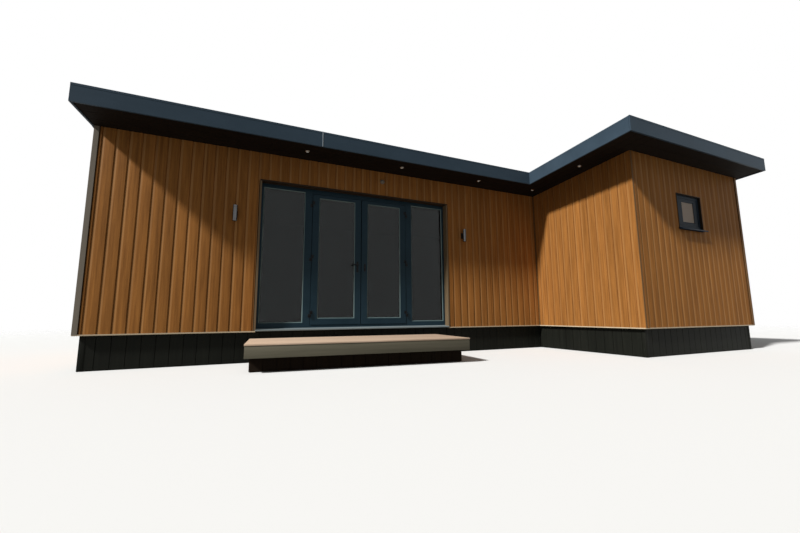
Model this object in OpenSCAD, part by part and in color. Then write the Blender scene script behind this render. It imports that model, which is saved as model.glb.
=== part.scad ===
// Garden office pod: a long main block with a wing that steps forward at the right
// Low roof of one pitch over both, deep eaves, dark plinth, glazed double doors
// Drawn from the left front corner of the main cladding, then moved so the plan is centred

/* [Blocks] */
// Width of the main front, from the left corner to the inner corner
main_w = 7100; // [5000:10:9000]
// Depth of the main block, front to back
main_d = 3600; // [2800:10:5000]
// Width of the wing's front
wing_w = 2980; // [2200:10:4000]
// How far the wing stands forward of the main front
wing_p = 2020; // [1200:10:3000]
// Thickness of the outer walls with their cladding
wall_t = 200; // [140:5:260]
// Height of the cladding on the main front, from its foot to the soffit
wall_h = 2570; // [2300:10:2900]

/* [Plinth and floor] */
// Height of the plinth from the ground to the foot of the cladding
plinth_h = 420; // [250:5:600]
// How far the plinth stands back behind the cladding
plinth_in = 60; // [20:5:100]
// Height of the floor above the foot of the cladding
floor_up = 35; // [20:1:60]
// Thickness of the floor
floor_t = 155; // [100:5:220]

/* [Roof] */
// Fall of the roof to the back, in degrees
roof_pitch = 3.5; // [1:0.5:8]
// Eaves beyond the main front
eaves_front = 500; // [250:10:700]
// Eaves beyond the wing's left face
eaves_wing_side = 550; // [250:10:700]
// Eaves beyond the wing's front
eaves_wing_front = 400; // [200:10:600]
// Eaves beyond the right end, and beyond the left end at the front corner
eaves_side = 100; // [40:5:250]
// Clearance between the left verge, which is nearly flush, and the corner trims
verge_gap = 1; // [0.5:0.5:5]
// Eaves beyond the back
eaves_back = 100; // [40:5:250]
// Height of the fascia boards
fascia_h = 225; // [150:5:300]
// Thickness of the fascia boards
fascia_t = 25; // [15:1:40]
// How far the fascia hangs below the soffit
fascia_drip = 8; // [0:1:20]
// How far the fascia stands above the roof deck
fascia_kerb = 15; // [5:1:40]
// Thickness of the soffit boards
soffit_t = 10; // [6:1:18]
// Clearance where walls, trims and lights meet the sloping roof
slope_gap = 0.1; // [0.05:0.05:0.5]
// Place of the joint in the main fascia, from the cladding's left corner
fascia_joint = 2730; // [1500:10:4500]

/* [Door set] */
// Left side of the door opening, from the left corner
door_x = 1968; // [1200:2:3500]
// Width of the door opening
door_w = 3080; // [2400:10:3600]
// Height of the door opening above the foot of the cladding
door_h = 2155; // [2000:5:2250]
// How far the door frame stands back from the cladding
door_set = 110; // [60:5:125]
// Depth of the door frame
frame_d = 70; // [60:1:75]
// Width of the jambs
jamb_w = 50; // [40:1:90]
// Height of the frame's head
head_h = 70; // [50:1:90]
// Width of the glass bay at each side
side_w = 580; // [400:10:750]
// Width of the two mullions
mullion_w = 120; // [60:1:140]
// Height of the rail below the side glass
side_rail = 85; // [60:1:140]
// Height of the threshold below the doors
threshold_h = 33; // [20:1:45]
// Overlap of the stop behind each door
stop_lap = 14; // [8:1:20]
// Thickness of the stop
stop_t = 18; // [10:1:22]
// Thickness of the door leaves
leaf_t = 50; // [44:1:54]
// How far the leaves stand forward of the frame
leaf_out = 6; // [0:1:12]
// Clearance around each leaf
leaf_gap = 6; // [5:0.5:9]
// Width of the door stiles
stile_w = 112; // [80:1:130]
// Height of the doors' top rail
top_rail = 65; // [50:1:120]
// Height of the doors' bottom rail
bottom_rail = 105; // [80:1:180]
// Thickness of the double glazing
glass_t = 28; // [20:1:32]
// How far the door sill stands out from the cladding
sill_out = 20; // [5:1:50]
// Height of the door handles above the foot of the cladding
handle_z = 975; // [850:5:1100]
// How far the panes lie behind the faces of their fixed frames
glass_set = 12; // [6:1:20]
// Radius of the hinge knuckles
knuckle_r = 9; // [7:0.5:12]
// Height of each half of a hinge
hinge_h = 50; // [35:1:70]
// Distance of the outer hinges' middles from the ends of a leaf
hinge_end = 160; // [120:5:300]
// Width of the hinge plates on the leaves and on the mullions
hinge_plate = 30; // [20:1:40]
// Thickness of the hinge plates on the leaves
hinge_plate_t = 4; // [2:0.5:5]
// Length of the door handle's plate
handle_plate_l = 170; // [120:5:240]
// Width of the door handle's plate
handle_plate_w = 32; // [24:1:45]
// Thickness of the door handle's plate
handle_plate_t = 8; // [4:1:12]
// Length of the lever from its hub
lever_l = 108; // [80:1:140]
// Height of the lever
lever_h = 20; // [14:1:26]
// Thickness of the lever
lever_t = 14; // [8:1:20]
// How far the lever stands out of the door
lever_out = 46; // [36:1:60]
// Height of the lever's hub above the middle of its plate
hub_up = 30; // [0:1:50]
// Radius of the hubs
hub_r = 9; // [6:0.5:14]
// Width of the second door's small plate
thumb_w = 28; // [18:1:40]
// Length of the second door's small plate
thumb_l = 120; // [50:1:140]
// Thickness of the second door's small plate
thumb_t = 7; // [4:1:12]
// How far the thumb turn stands out
thumb_out = 16; // [10:1:24]
// How far the thumb turn sits below the lever's plate
thumb_down = 8; // [0:1:80]

/* [Wing window] */
// Left side of the window opening, from the wing's left corner
win_x = 1085; // [500:5:1800]
// Width of the window opening
win_w = 650; // [500:5:900]
// Foot of the window opening above the foot of the cladding
win_z = 1555; // [1200:5:1700]
// Height of the window opening
win_h = 600; // [450:5:800]
// How far the window stands back from the cladding
win_set = 28; // [15:1:110]
// Width of the window frame with its sash
win_frame = 110; // [55:1:120]
// Height of the window's bottom rails
win_rail = 120; // [70:1:140]
// Thickness of the window sill
win_sill_t = 30; // [20:1:40]
// How far the window sill stands out
win_sill_out = 60; // [30:5:80]
// How far the window sill runs past the opening at each end
win_sill_end = 30; // [0:5:60]

/* [Trim] */
// Width of the corner trims
trim_w = 55; // [35:1:80]
// Width of the trim in the inner corner
inner_trim_w = 20; // [10:1:60]
// How far the trims stand out of the cladding
trim_t = 6; // [3:1:10]
// Height of the trim at the foot of the cladding
foot_trim_h = 10; // [6:1:20]
// Shadow gap between the strips of that trim
foot_trim_gap = 1; // [0.5:0.5:3]

/* [Lights] */
// Distance of each wall light from the middle of the doors
light_x = 1870; // [1650:10:2000]
// Height of the wall lights' middle above the foot of the cladding
light_z = 1615; // [1400:5:1900]
// Length of the wall lights
light_l = 220; // [150:5:320]
// Radius of the wall lights
light_r = 30; // [20:1:45]
// Distance of the wall lights' axis from the cladding
light_out = 70; // [55:1:100]
// Side of the wall lights' square arm
light_arm = 22; // [14:1:30]
// Width of the wall lights' plate
light_plate_w = 64; // [50:1:90]
// Height of the wall lights' plate
light_plate_h = 100; // [70:1:150]
// Thickness of the wall lights' plate
light_plate_t = 8; // [4:1:14]
// Spacing of the soffit lights along the main front
down_step = 1510; // [1000:10:1550]
// Spacing of the corner's soffit light and the next one
down_corner_step = 1250; // [900:10:1550]
// Spacing of the soffit lights along the wing
down_wing_step = 1075; // [700:5:1200]
// Distance of the soffit lights from the main front
down_out = 275; // [150:5:350]
// Radius of the soffit lights
down_r = 34; // [25:1:60]
// Thickness of the soffit lights' rings
down_t = 5; // [3:1:8]

/* [Step] */
// Back left corner of the step from the left corner
step_x = 1904; // [1500:1:2400]
// Length of the step
step_w = 2795; // [1500:5:3300]
// Depth of the step
step_d = 1100; // [700:5:1400]
// Turn of the step against the main front, in degrees
step_turn = 4.8; // [0:0.1:8]
// Clearance between the step's back left corner and the plinth
step_clear = 0.3; // [0.2:0.1:5]
// Height of the step's top
step_h = 323; // [200:1:380]
// Thickness of the step's deck
deck_t = 20; // [18:1:35]
// Height of the step's fascia below the deck
step_face = 138; // [80:1:160]
// How far the step's base stands back at the front
base_in = 150; // [50:5:400]
// How far the step's base stands in at the ends
base_side = 50; // [40:5:300]
// Thickness of the step's fascia boards
step_face_t = 22; // [15:1:30]
// How far the deck runs past the fascia
step_lip = 5; // [0:1:15]
// Shadow gap between the step's fascia boards
step_gap = 2; // [1:0.5:4]

/* [Hidden] */

// Sizes that follow from the ones above
full_w = main_w + wing_w;
base_z = plinth_h;
floor_z = base_z + floor_up;
fall = tan(roof_pitch);
roof_x0 = -eaves_side;
verge_x = -(trim_t + verge_gap);
roof_x1 = main_w - eaves_wing_side;
roof_x2 = full_w + eaves_side;
roof_y0 = -(wing_p + eaves_wing_front);
roof_y1 = -eaves_front;
roof_y2 = main_d + eaves_back;
fascia_up = fascia_h - fascia_drip;
deck_low = soffit_t;
wall_over = deck_low - slope_gap;
deck_high = fascia_up - fascia_kerb;
mid_x = (roof_x0 + roof_x2) / 2;
mid_y = (roof_y0 + roof_y2) / 2;

door_x2 = door_x + door_w;
door_top = base_z + door_h;
frame_y = door_set;
head_z = door_top - head_h;
bay_x = door_x + jamb_w + side_w;
pass_x = bay_x + mullion_w;
pass_w = door_w - 2 * (jamb_w + side_w + mullion_w);
door_mid = door_x + door_w / 2;
threshold_z = floor_z + threshold_h;
leaf_y = frame_y - leaf_out;
leaf_z = threshold_z + leaf_gap;
leaf_h = head_z - leaf_gap - leaf_z;
leaf_w = pass_w / 2 - 2 * leaf_gap;
leaf_x = pass_x + leaf_gap;
stop_y = frame_y + frame_d - stop_t;
hinge_x = leaf_x - leaf_gap / 2;
hinge_y = leaf_y - knuckle_r;
hinge_heights = [leaf_z + hinge_end, leaf_z + leaf_h / 2, leaf_z + leaf_h - hinge_end];
down_x = main_w - eaves_wing_side / 2;

wing_y = -wing_p;
win_x0 = main_w + win_x;
win_z0 = base_z + win_z;
win_y = wing_y + win_set;
win_fz = win_z0 + win_sill_t;
win_fh = win_h - win_sill_t;

step_y = plinth_in - step_clear;

// Height of the soffit's lower face at a depth y
function soffit_z(y) = base_z + wall_h - y * fall;

// Box between two corners
module box(x0, x1, y0, y1, z0, z1) {
  translate([x0, y0, z0])
    cube([x1 - x0, y1 - y0, z1 - z0]);
}

// Block with a level foot and a top that follows the roof
module pitched(x0, x1, y0, y1, z0, over) {
  translate([x0, 0, 0])
    rotate([90, 0, 90])
      linear_extrude(height = x1 - x0)
        polygon([[y0, z0], [y1, z0], [y1, soffit_z(y1) + over], [y0, soffit_z(y0) + over]]);
}

// Plate whose two faces both follow the roof
module sloped(x0, x1, y0, y1, low, high) {
  translate([x0, 0, 0])
    rotate([90, 0, 90])
      linear_extrude(height = x1 - x0)
        polygon([
          [y0, soffit_z(y0) + low], [y1, soffit_z(y1) + low],
          [y1, soffit_z(y1) + high], [y0, soffit_z(y0) + high]
        ]);
}

// Ground plan of the main roof inside its fascia: the left end splays out to the front corner
module main_roof_plan() {
  polygon([
    [roof_x0 + fascia_t, roof_y1 + fascia_t], [roof_x1 + fascia_t, roof_y1 + fascia_t],
    [roof_x1 + fascia_t, roof_y2 - fascia_t], [verge_x, roof_y2 - fascia_t], [verge_x, 0]
  ]);
}

// Ground plan of the left fascia: a splayed return before the wall, then the verge along it
module left_fascia_plan() {
  polygon([
    [roof_x0, roof_y1 + fascia_t], [roof_x0 + fascia_t, roof_y1 + fascia_t],
    [verge_x, 0], [verge_x, roof_y2 - fascia_t],
    [verge_x - fascia_t, roof_y2 - fascia_t], [verge_x - fascia_t, 0]
  ]);
}

// Sloping plate over the main block, cut to a ground plan
module sloped_to_plan(low, high) {
  intersection() {
    sloped(roof_x0, roof_x1 + fascia_t, roof_y1 + fascia_t, roof_y2 - fascia_t, low, high);
    linear_extrude(height = soffit_z(roof_y1) + fascia_h)
      children();
  }
}

// Ground plan of the walls, drawn in by d
module plan(d) {
  polygon([
    [d, d], [main_w + d, d], [main_w + d, wing_y + d],
    [full_w - d, wing_y + d], [full_w - d, main_d - d], [d, main_d - d]
  ]);
}

module centred() {
  translate([-mid_x, -mid_y, 0])
    children();
}

// Plinth and floor
module plinth() {
  color("#2b2e31") centred()
    linear_extrude(height = base_z)
      difference() {
        plan(plinth_in);
        plan(wall_t);
      }
}

module floor_main() {
  color("#b89a72") centred()
    box(wall_t, full_w - wall_t, wall_t, main_d - wall_t, floor_z - floor_t, floor_z);
}

module floor_wing() {
  color("#b89a72") centred()
    box(main_w + wall_t, full_w - wall_t, wing_y + wall_t, wall_t, floor_z - floor_t, floor_z);
}

// Walls
module front_wall_left() {
  color("#7a5232") centred()
    pitched(0, door_x, 0, wall_t, base_z, wall_over);
}

module front_wall_over_doors() {
  color("#7a5232") centred()
    pitched(door_x, door_x2, 0, wall_t, door_top, wall_over);
}

module front_wall_right() {
  color("#7a5232") centred()
    pitched(door_x2, main_w, 0, wall_t, base_z, wall_over);
}

module left_wall() {
  color("#7a5232") centred()
    pitched(0, wall_t, wall_t, main_d - wall_t, base_z, wall_over);
}

module back_wall() {
  color("#7a5232") centred()
    pitched(0, full_w, main_d - wall_t, main_d, base_z, wall_over);
}

module right_wall() {
  color("#7a5232") centred()
    pitched(full_w - wall_t, full_w, wing_y + wall_t, main_d - wall_t, base_z, wall_over);
}

module wing_left_wall() {
  color("#7a5232") centred()
    pitched(main_w, main_w + wall_t, wing_y + wall_t, wall_t, base_z, wall_over);
}

module wing_front_wall() {
  color("#7a5232") centred()
    difference() {
      pitched(main_w, full_w, wing_y, wing_y + wall_t, base_z, wall_over);
      box(win_x0, win_x0 + win_w, wing_y - 1, wing_y + wall_t + 1, win_z0, win_z0 + win_h);
    }
}

// Angle trim on an outer corner, sx and sy point into the building
module corner_angle(x, y, sx, sy) {
  union() {
    pitched(
      min(x - sx * trim_t, x + sx * (trim_w - trim_t)), max(x - sx * trim_t, x + sx * (trim_w - trim_t)),
      min(y, y - sy * trim_t), max(y, y - sy * trim_t), base_z, -slope_gap);
    pitched(
      min(x, x - sx * trim_t), max(x, x - sx * trim_t),
      min(y - sy * trim_t, y + sy * (trim_w - trim_t)), max(y - sy * trim_t, y + sy * (trim_w - trim_t)),
      base_z, -slope_gap);
  }
}

module corner_trims() {
  color("#8b8577") centred() {
    corner_angle(0, 0, 1, 1);
    corner_angle(main_w, wing_y, 1, 1);
    corner_angle(full_w, wing_y, -1, 1);
    corner_angle(0, main_d, 1, -1);
    corner_angle(full_w, main_d, -1, -1);
    union() {
      pitched(main_w - inner_trim_w, main_w, -trim_t, 0, base_z, -slope_gap);
      pitched(main_w - trim_t, main_w, -inner_trim_w, 0, base_z, -slope_gap);
    }
  }
}

// Strips that close the foot of the cladding
module foot_trims() {
  lo = base_z - foot_trim_h;
  g = foot_trim_gap;
  color("#8b8577") centred() {
    box(0, door_x, 0, plinth_in, lo, base_z);
    box(door_x2, main_w + plinth_in - g, 0, plinth_in, lo, base_z);
    box(main_w, main_w + plinth_in, wing_y + plinth_in + g, -g, lo, base_z);
    box(main_w, full_w, wing_y, wing_y + plinth_in, lo, base_z);
    box(full_w - plinth_in, full_w, wing_y + plinth_in + g, main_d - plinth_in - g, lo, base_z);
    box(0, full_w, main_d - plinth_in, main_d, lo, base_z);
    box(0, plinth_in, plinth_in + g, main_d - plinth_in - g, lo, base_z);
  }
}

// Roof
module roof_main() {
  color("#3a3d40") centred()
    sloped_to_plan(deck_low, deck_high)
      main_roof_plan();
}

module roof_wing() {
  color("#3a3d40") centred()
    sloped(roof_x1 + fascia_t, roof_x2 - fascia_t, roof_y0 + fascia_t, roof_y2 - fascia_t,
      deck_low, deck_high);
}

module soffit_main() {
  color("#1f1c1a") centred()
    difference() {
      sloped_to_plan(0, deck_low)
        main_roof_plan();
      sloped(0, roof_x1 + fascia_t + 1, 0, main_d, -5, deck_low + 5);
    }
}

module soffit_wing() {
  color("#1f1c1a") centred()
    difference() {
      sloped(roof_x1 + fascia_t, roof_x2 - fascia_t, roof_y0 + fascia_t, roof_y2 - fascia_t, 0, deck_low);
      sloped(roof_x1, main_w + 1, 0, main_d, -5, deck_low + 5);
      sloped(main_w, full_w, wing_y, main_d, -5, deck_low + 5);
    }
}

module fascia_front_left() {
  z = soffit_z(roof_y1);
  color("#3c4a54") centred()
    box(roof_x0, fascia_joint, roof_y1, roof_y1 + fascia_t, z - fascia_drip, z + fascia_up);
}

module fascia_front_right() {
  z = soffit_z(roof_y1);
  color("#3c4a54") centred()
    box(fascia_joint, roof_x1, roof_y1, roof_y1 + fascia_t, z - fascia_drip, z + fascia_up);
}

module fascia_left() {
  color("#3c4a54") centred()
    sloped_to_plan(-fascia_drip, fascia_up)
      left_fascia_plan();
}

module fascia_back() {
  z = soffit_z(roof_y2);
  color("#3c4a54") centred()
    box(verge_x - fascia_t, roof_x2, roof_y2 - fascia_t, roof_y2, z - fascia_drip, z + fascia_up);
}

module fascia_right() {
  color("#3c4a54") centred()
    sloped(roof_x2 - fascia_t, roof_x2, roof_y0 + fascia_t, roof_y2 - fascia_t, -fascia_drip, fascia_up);
}

module fascia_wing_left() {
  color("#3c4a54") centred()
    sloped(roof_x1, roof_x1 + fascia_t, roof_y0 + fascia_t, roof_y1 + fascia_t, -fascia_drip, fascia_up);
}

module fascia_wing_front() {
  z = soffit_z(roof_y0);
  color("#3c4a54") centred()
    box(roof_x1, roof_x2, roof_y0, roof_y0 + fascia_t, z - fascia_drip, z + fascia_up);
}

// Door set
module door_sill() {
  color("#5a6064") centred()
    box(door_x, door_x2, -sill_out, wall_t, base_z, floor_z);
}

module door_frame() {
  y0 = frame_y;
  y1 = frame_y + frame_d;
  lap = leaf_gap + stop_lap;
  color("#26333c") centred()
    union() {
      box(door_x, door_x + jamb_w, y0, y1, floor_z, door_top);
      box(door_x2 - jamb_w, door_x2, y0, y1, floor_z, door_top);
      box(door_x, door_x2, y0, y1, head_z, door_top);
      box(bay_x, pass_x, y0, y1, floor_z, door_top);
      box(pass_x + pass_w, pass_x + pass_w + mullion_w, y0, y1, floor_z, door_top);
      box(door_x, pass_x, y0, y1, floor_z, floor_z + side_rail);
      box(pass_x + pass_w, door_x2, y0, y1, floor_z, floor_z + side_rail);
      box(pass_x, pass_x + pass_w, y0, y1, floor_z, threshold_z);
      box(pass_x - 1, pass_x + lap, stop_y, y1, floor_z, door_top);
      box(pass_x + pass_w - lap, pass_x + pass_w + 1, stop_y, y1, floor_z, door_top);
      box(pass_x, pass_x + pass_w, stop_y, y1, head_z - lap, head_z + 1);
      box(pass_x, pass_x + pass_w, stop_y, y1, threshold_z - 1, threshold_z + lap);
    }
}

module side_glass() {
  y0 = frame_y + glass_set;
  color("#9fb4bd") centred() {
    box(door_x + jamb_w, bay_x, y0, y0 + glass_t, floor_z + side_rail, head_z);
    box(pass_x + pass_w + mullion_w, door_x2 - jamb_w, y0, y0 + glass_t, floor_z + side_rail, head_z);
  }
}

// Pieces of the left door, also used for the right one in mirror image
module leaf_shape() {
  difference() {
    box(leaf_x, leaf_x + leaf_w, leaf_y, leaf_y + leaf_t, leaf_z, leaf_z + leaf_h);
    box(leaf_x + stile_w, leaf_x + leaf_w - stile_w, leaf_y - 1, leaf_y + leaf_t + 1,
      leaf_z + bottom_rail, leaf_z + leaf_h - top_rail);
  }
}

module leaf_glass() {
  y0 = leaf_y + (leaf_t - glass_t) / 2;
  box(leaf_x + stile_w, leaf_x + leaf_w - stile_w, y0, y0 + glass_t,
    leaf_z + bottom_rail, leaf_z + leaf_h - top_rail);
}

module hinge_set() {
  for (z = hinge_heights)
    union() {
      translate([hinge_x, hinge_y, z])
        cylinder(r = knuckle_r, h = hinge_h, $fn = 32);
      box(hinge_x, leaf_x + hinge_plate, leaf_y - hinge_plate_t, leaf_y, z, z + hinge_h);
    }
}

// Fixed halves of the hinges, on which the leaves' knuckles stand
module fixed_hinge_set() {
  for (z = hinge_heights)
    union() {
      translate([hinge_x, hinge_y, z - hinge_h])
        cylinder(r = knuckle_r, h = hinge_h, $fn = 32);
      box(pass_x - hinge_plate, pass_x, hinge_y + knuckle_r / 2, frame_y, z - hinge_h, z);
    }
}

module mirrored() {
  translate([2 * door_mid, 0, 0])
    mirror([1, 0, 0])
      children();
}

// Lever handle on a plate, outside (s = -1) or inside (s = 1)
module lever(x, y, z, s) {
  translate([x, y, z])
    union() {
      translate([-handle_plate_w / 2, min(0, s * handle_plate_t), -handle_plate_l / 2])
        cube([handle_plate_w, handle_plate_t, handle_plate_l]);
      translate([0, 0, hub_up])
        rotate([s * -90, 0, 0])
          cylinder(r = hub_r, h = lever_out, $fn = 32);
      translate([-lever_l, min(s * (lever_out - lever_t), s * lever_out), hub_up - lever_h / 2])
        cube([lever_l + hub_r, lever_t, lever_h]);
    }
}

module left_door() {
  color("#26333c") centred()
    leaf_shape();
}

module left_door_glass() {
  color("#9fb4bd") centred()
    leaf_glass();
}

module left_door_handle() {
  x = leaf_x + leaf_w - stile_w / 2;
  color("#303538") centred() {
    lever(x, leaf_y, base_z + handle_z, -1);
    lever(x, leaf_y + leaf_t, base_z + handle_z, 1);
  }
}

module left_door_hinges() {
  color("#303538") centred()
    hinge_set();
}

module frame_hinges() {
  color("#303538") centred() {
    fixed_hinge_set();
    mirrored()
      fixed_hinge_set();
  }
}

module right_door() {
  color("#26333c") centred()
    mirrored()
      leaf_shape();
}

module right_door_glass() {
  color("#9fb4bd") centred()
    mirrored()
      leaf_glass();
}

// Small plate with a thumb turn: the second door is bolted from inside
module right_door_handle() {
  color("#303538") centred()
    mirrored()
      translate([leaf_x + leaf_w - stile_w / 2, leaf_y, base_z + handle_z - thumb_down])
        union() {
          translate([-thumb_w / 2, -thumb_t, -thumb_l / 2])
            cube([thumb_w, thumb_t, thumb_l]);
          rotate([90, 0, 0])
            cylinder(r = hub_r, h = thumb_out, $fn = 32);
        }
}

module right_door_hinges() {
  color("#303538") centred()
    mirrored()
      hinge_set();
}

// Wing window
module window_frame() {
  color("#26333c") centred()
    difference() {
      box(win_x0, win_x0 + win_w, win_y, win_y + frame_d, win_fz, win_fz + win_fh);
      box(win_x0 + win_frame, win_x0 + win_w - win_frame, win_y - 1, win_y + frame_d + 1,
        win_fz + win_rail, win_fz + win_fh - win_frame);
    }
}

module window_glass() {
  color("#d8cdb8") centred()
    box(win_x0 + win_frame, win_x0 + win_w - win_frame, win_y + glass_set, win_y + glass_set + glass_t,
      win_fz + win_rail, win_fz + win_fh - win_frame);
}

module window_sill() {
  color("#26333c") centred()
    union() {
      box(win_x0, win_x0 + win_w, wing_y - win_sill_out, win_y + frame_d, win_z0, win_fz);
      box(win_x0 - win_sill_end, win_x0 + win_w + win_sill_end,
        wing_y - win_sill_out, wing_y, win_z0, win_fz);
    }
}

// Lights
module wall_light(x) {
  translate([x, 0, base_z + light_z])
    union() {
      translate([-light_plate_w / 2, -light_plate_t, -light_plate_h / 2])
        cube([light_plate_w, light_plate_t, light_plate_h]);
      translate([-light_arm / 2, -light_out, -light_arm / 2])
        cube([light_arm, light_out, light_arm]);
      translate([0, -light_out, -light_l / 2])
        cylinder(r = light_r, h = light_l, $fn = 64);
    }
}

module wall_light_left() {
  color("#a8a9a6") centred()
    wall_light(door_mid - light_x);
}

module wall_light_right() {
  color("#a8a9a6") centred()
    wall_light(door_mid + light_x);
}

// Shallow ring under the soffit
module downlight(x, y) {
  translate([x, y, soffit_z(y)])
    rotate([-roof_pitch, 0, 0])
      translate([0, 0, -down_t - slope_gap])
        cylinder(r = down_r, h = down_t, $fn = 48);
}

module soffit_lights() {
  color("#cfcfca") centred() {
    downlight(down_x, -down_out);
    for (i = [0:2])
      downlight(down_x - down_corner_step - i * down_step, -down_out);
    downlight(down_x, -down_out - down_wing_step);
  }
}

// Step, drawn from its back left corner and turned about it
module at_step() {
  translate([step_x, step_y, 0]) rotate([0, 0, -step_turn]) children();
}

module step_deck() {
  color("#b39a80") centred() at_step()
    box(0, step_w, -step_d, 0, step_h - deck_t, step_h);
}

module step_fascia() {
  z0 = step_h - deck_t - step_face;
  z1 = step_h - deck_t;
  y0 = -step_d + step_lip;
  x0 = step_lip;
  x1 = step_w - step_lip;
  color("#3b3a36") centred() at_step() {
    box(x0, x1, y0, y0 + step_face_t, z0, z1);
    box(x0, x0 + step_face_t, y0 + step_face_t + step_gap, 0, z0, z1);
    box(x1 - step_face_t, x1, y0 + step_face_t + step_gap, 0, z0, z1);
  }
}

module step_base() {
  color("#1d1e1f") centred() at_step()
    box(base_side, step_w - base_side, -step_d + base_in, 0, 0, step_h - deck_t);
}

plinth();
floor_main();
floor_wing();
front_wall_left();
front_wall_over_doors();
front_wall_right();
left_wall();
back_wall();
right_wall();
wing_left_wall();
wing_front_wall();
corner_trims();
foot_trims();
roof_main();
roof_wing();
soffit_main();
soffit_wing();
fascia_front_left();
fascia_front_right();
fascia_left();
fascia_back();
fascia_right();
fascia_wing_left();
fascia_wing_front();
door_sill();
door_frame();
frame_hinges();
side_glass();
left_door();
left_door_glass();
left_door_handle();
left_door_hinges();
right_door();
right_door_glass();
right_door_handle();
right_door_hinges();
window_frame();
window_glass();
window_sill();
wall_light_left();
wall_light_right();
soffit_lights();
step_deck();
step_fascia();
step_base();
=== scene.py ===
# %% [markdown]
# # A timber-look garden office
# This lesson dresses a imported CAD model of an L-shaped garden office. The solids already have their true
# size and place, so every piece below is made around them. The frame is loaded first and never moved.

# %% Load the imported model
import math
import random

import bmesh
import bpy
from mathutils import Matrix, Vector


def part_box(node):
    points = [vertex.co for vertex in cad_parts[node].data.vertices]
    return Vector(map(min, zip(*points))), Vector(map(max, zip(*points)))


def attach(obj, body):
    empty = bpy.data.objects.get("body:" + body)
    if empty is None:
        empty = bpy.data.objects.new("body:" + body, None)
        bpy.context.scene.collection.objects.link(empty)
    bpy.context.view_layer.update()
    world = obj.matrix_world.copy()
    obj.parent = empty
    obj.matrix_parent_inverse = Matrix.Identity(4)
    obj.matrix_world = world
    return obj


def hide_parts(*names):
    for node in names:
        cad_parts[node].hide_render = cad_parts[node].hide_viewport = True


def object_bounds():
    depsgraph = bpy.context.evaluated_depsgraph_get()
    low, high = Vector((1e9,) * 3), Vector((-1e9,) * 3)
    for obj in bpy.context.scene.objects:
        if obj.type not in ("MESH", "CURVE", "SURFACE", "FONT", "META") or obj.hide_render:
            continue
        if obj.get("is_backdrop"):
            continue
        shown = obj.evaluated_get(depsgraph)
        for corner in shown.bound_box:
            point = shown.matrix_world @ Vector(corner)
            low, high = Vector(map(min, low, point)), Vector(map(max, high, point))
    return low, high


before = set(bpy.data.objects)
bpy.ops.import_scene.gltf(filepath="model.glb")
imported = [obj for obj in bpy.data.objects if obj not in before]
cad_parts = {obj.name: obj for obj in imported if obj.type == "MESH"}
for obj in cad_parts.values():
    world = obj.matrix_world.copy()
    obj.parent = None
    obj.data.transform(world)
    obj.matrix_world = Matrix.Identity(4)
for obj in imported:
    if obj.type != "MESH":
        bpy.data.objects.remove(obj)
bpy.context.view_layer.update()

# %% [markdown]
# ## Where the walls stand
# A building is easiest to dress one side at a time. Each side is a line on the ground plan that runs from
# left to right for someone who stands outside and faces it. All corners come from the solids' own boxes, so
# nothing has to be fitted by eye.

# %% Corners and sides of the plan
WALL_FRONT, WALL_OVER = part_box("front_wall_left"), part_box("front_wall_over_doors")
LEFT, FRONT, FOOT = WALL_FRONT[0]
INNER, WING_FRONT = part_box("wing_left_wall")[0].x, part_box("wing_front_wall")[0].y
RIGHT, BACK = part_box("right_wall")[1].x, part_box("back_wall")[1].y
WALL = WALL_FRONT[1].y - FRONT
DOOR_LEFT, DOOR_RIGHT, DOOR_HEAD = WALL_OVER[0].x, WALL_OVER[1].x, WALL_OVER[0].z

SIDES = {
    "main_front": ((LEFT, FRONT), (INNER, FRONT)),
    "wing_left": ((INNER, FRONT), (INNER, WING_FRONT)),
    "wing_front": ((INNER, WING_FRONT), (RIGHT, WING_FRONT)),
    "right": ((RIGHT, WING_FRONT), (RIGHT, BACK)),
    "back": ((RIGHT, BACK), (LEFT, BACK)),
    "left": ((LEFT, BACK), (LEFT, FRONT)),
}


def length(side):
    (x0, y0), (x1, y1) = SIDES[side]
    return math.hypot(x1 - x0, y1 - y0)


def side_matrix(side, inset=0.0):
    """Places work drawn on the line y = 0, seen from -y, onto a side of the building."""
    (x0, y0), (x1, y1) = SIDES[side]
    turn = Matrix.Rotation(math.atan2(y1 - y0, x1 - x0), 4, "Z")
    return Matrix.Translation((x0, y0, 0)) @ turn @ Matrix.Translation((0, inset, 0))


for side in SIDES:
    print(f"{side:11s} {length(side):6.3f} m")

# %% [markdown]
# ## The slope of the roof
# One flat roof plane falls from the wing's front to the back. Its fall is read from the tops of the front
# and back fascias. Anything that lies on the slope is drawn level and then sheared, which keeps its sides
# upright as on the real roof.

# %% Roof plane
FASCIA_FRONT, FASCIA_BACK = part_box("fascia_front_left"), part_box("fascia_back")
FASCIA_DRIP = 0.008
FALL = (FASCIA_FRONT[1].z - FASCIA_BACK[1].z) / (FASCIA_BACK[1].y - FASCIA_FRONT[0].y)


def soffit_height(y):
    return FASCIA_FRONT[0].z + FASCIA_DRIP - (y - FASCIA_FRONT[0].y) * FALL


ON_SLOPE = Matrix.Translation((0, 0, soffit_height(0)))
ON_SLOPE[2][1] = -FALL
print("roof falls", round(math.degrees(math.atan(FALL)), 2), "degrees to the back")

# %% [markdown]
# ## Camera
# The camera stands low, left of the doors. It has a wide lens, is turned to the right and looks a little
# upwards. Its place, turn and lens come from a least-squares fit of the building's edges, worked out for a
# picture of 800 by 533. The rotation is built from three plain turns, which is easier to check than one
# matrix.

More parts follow.
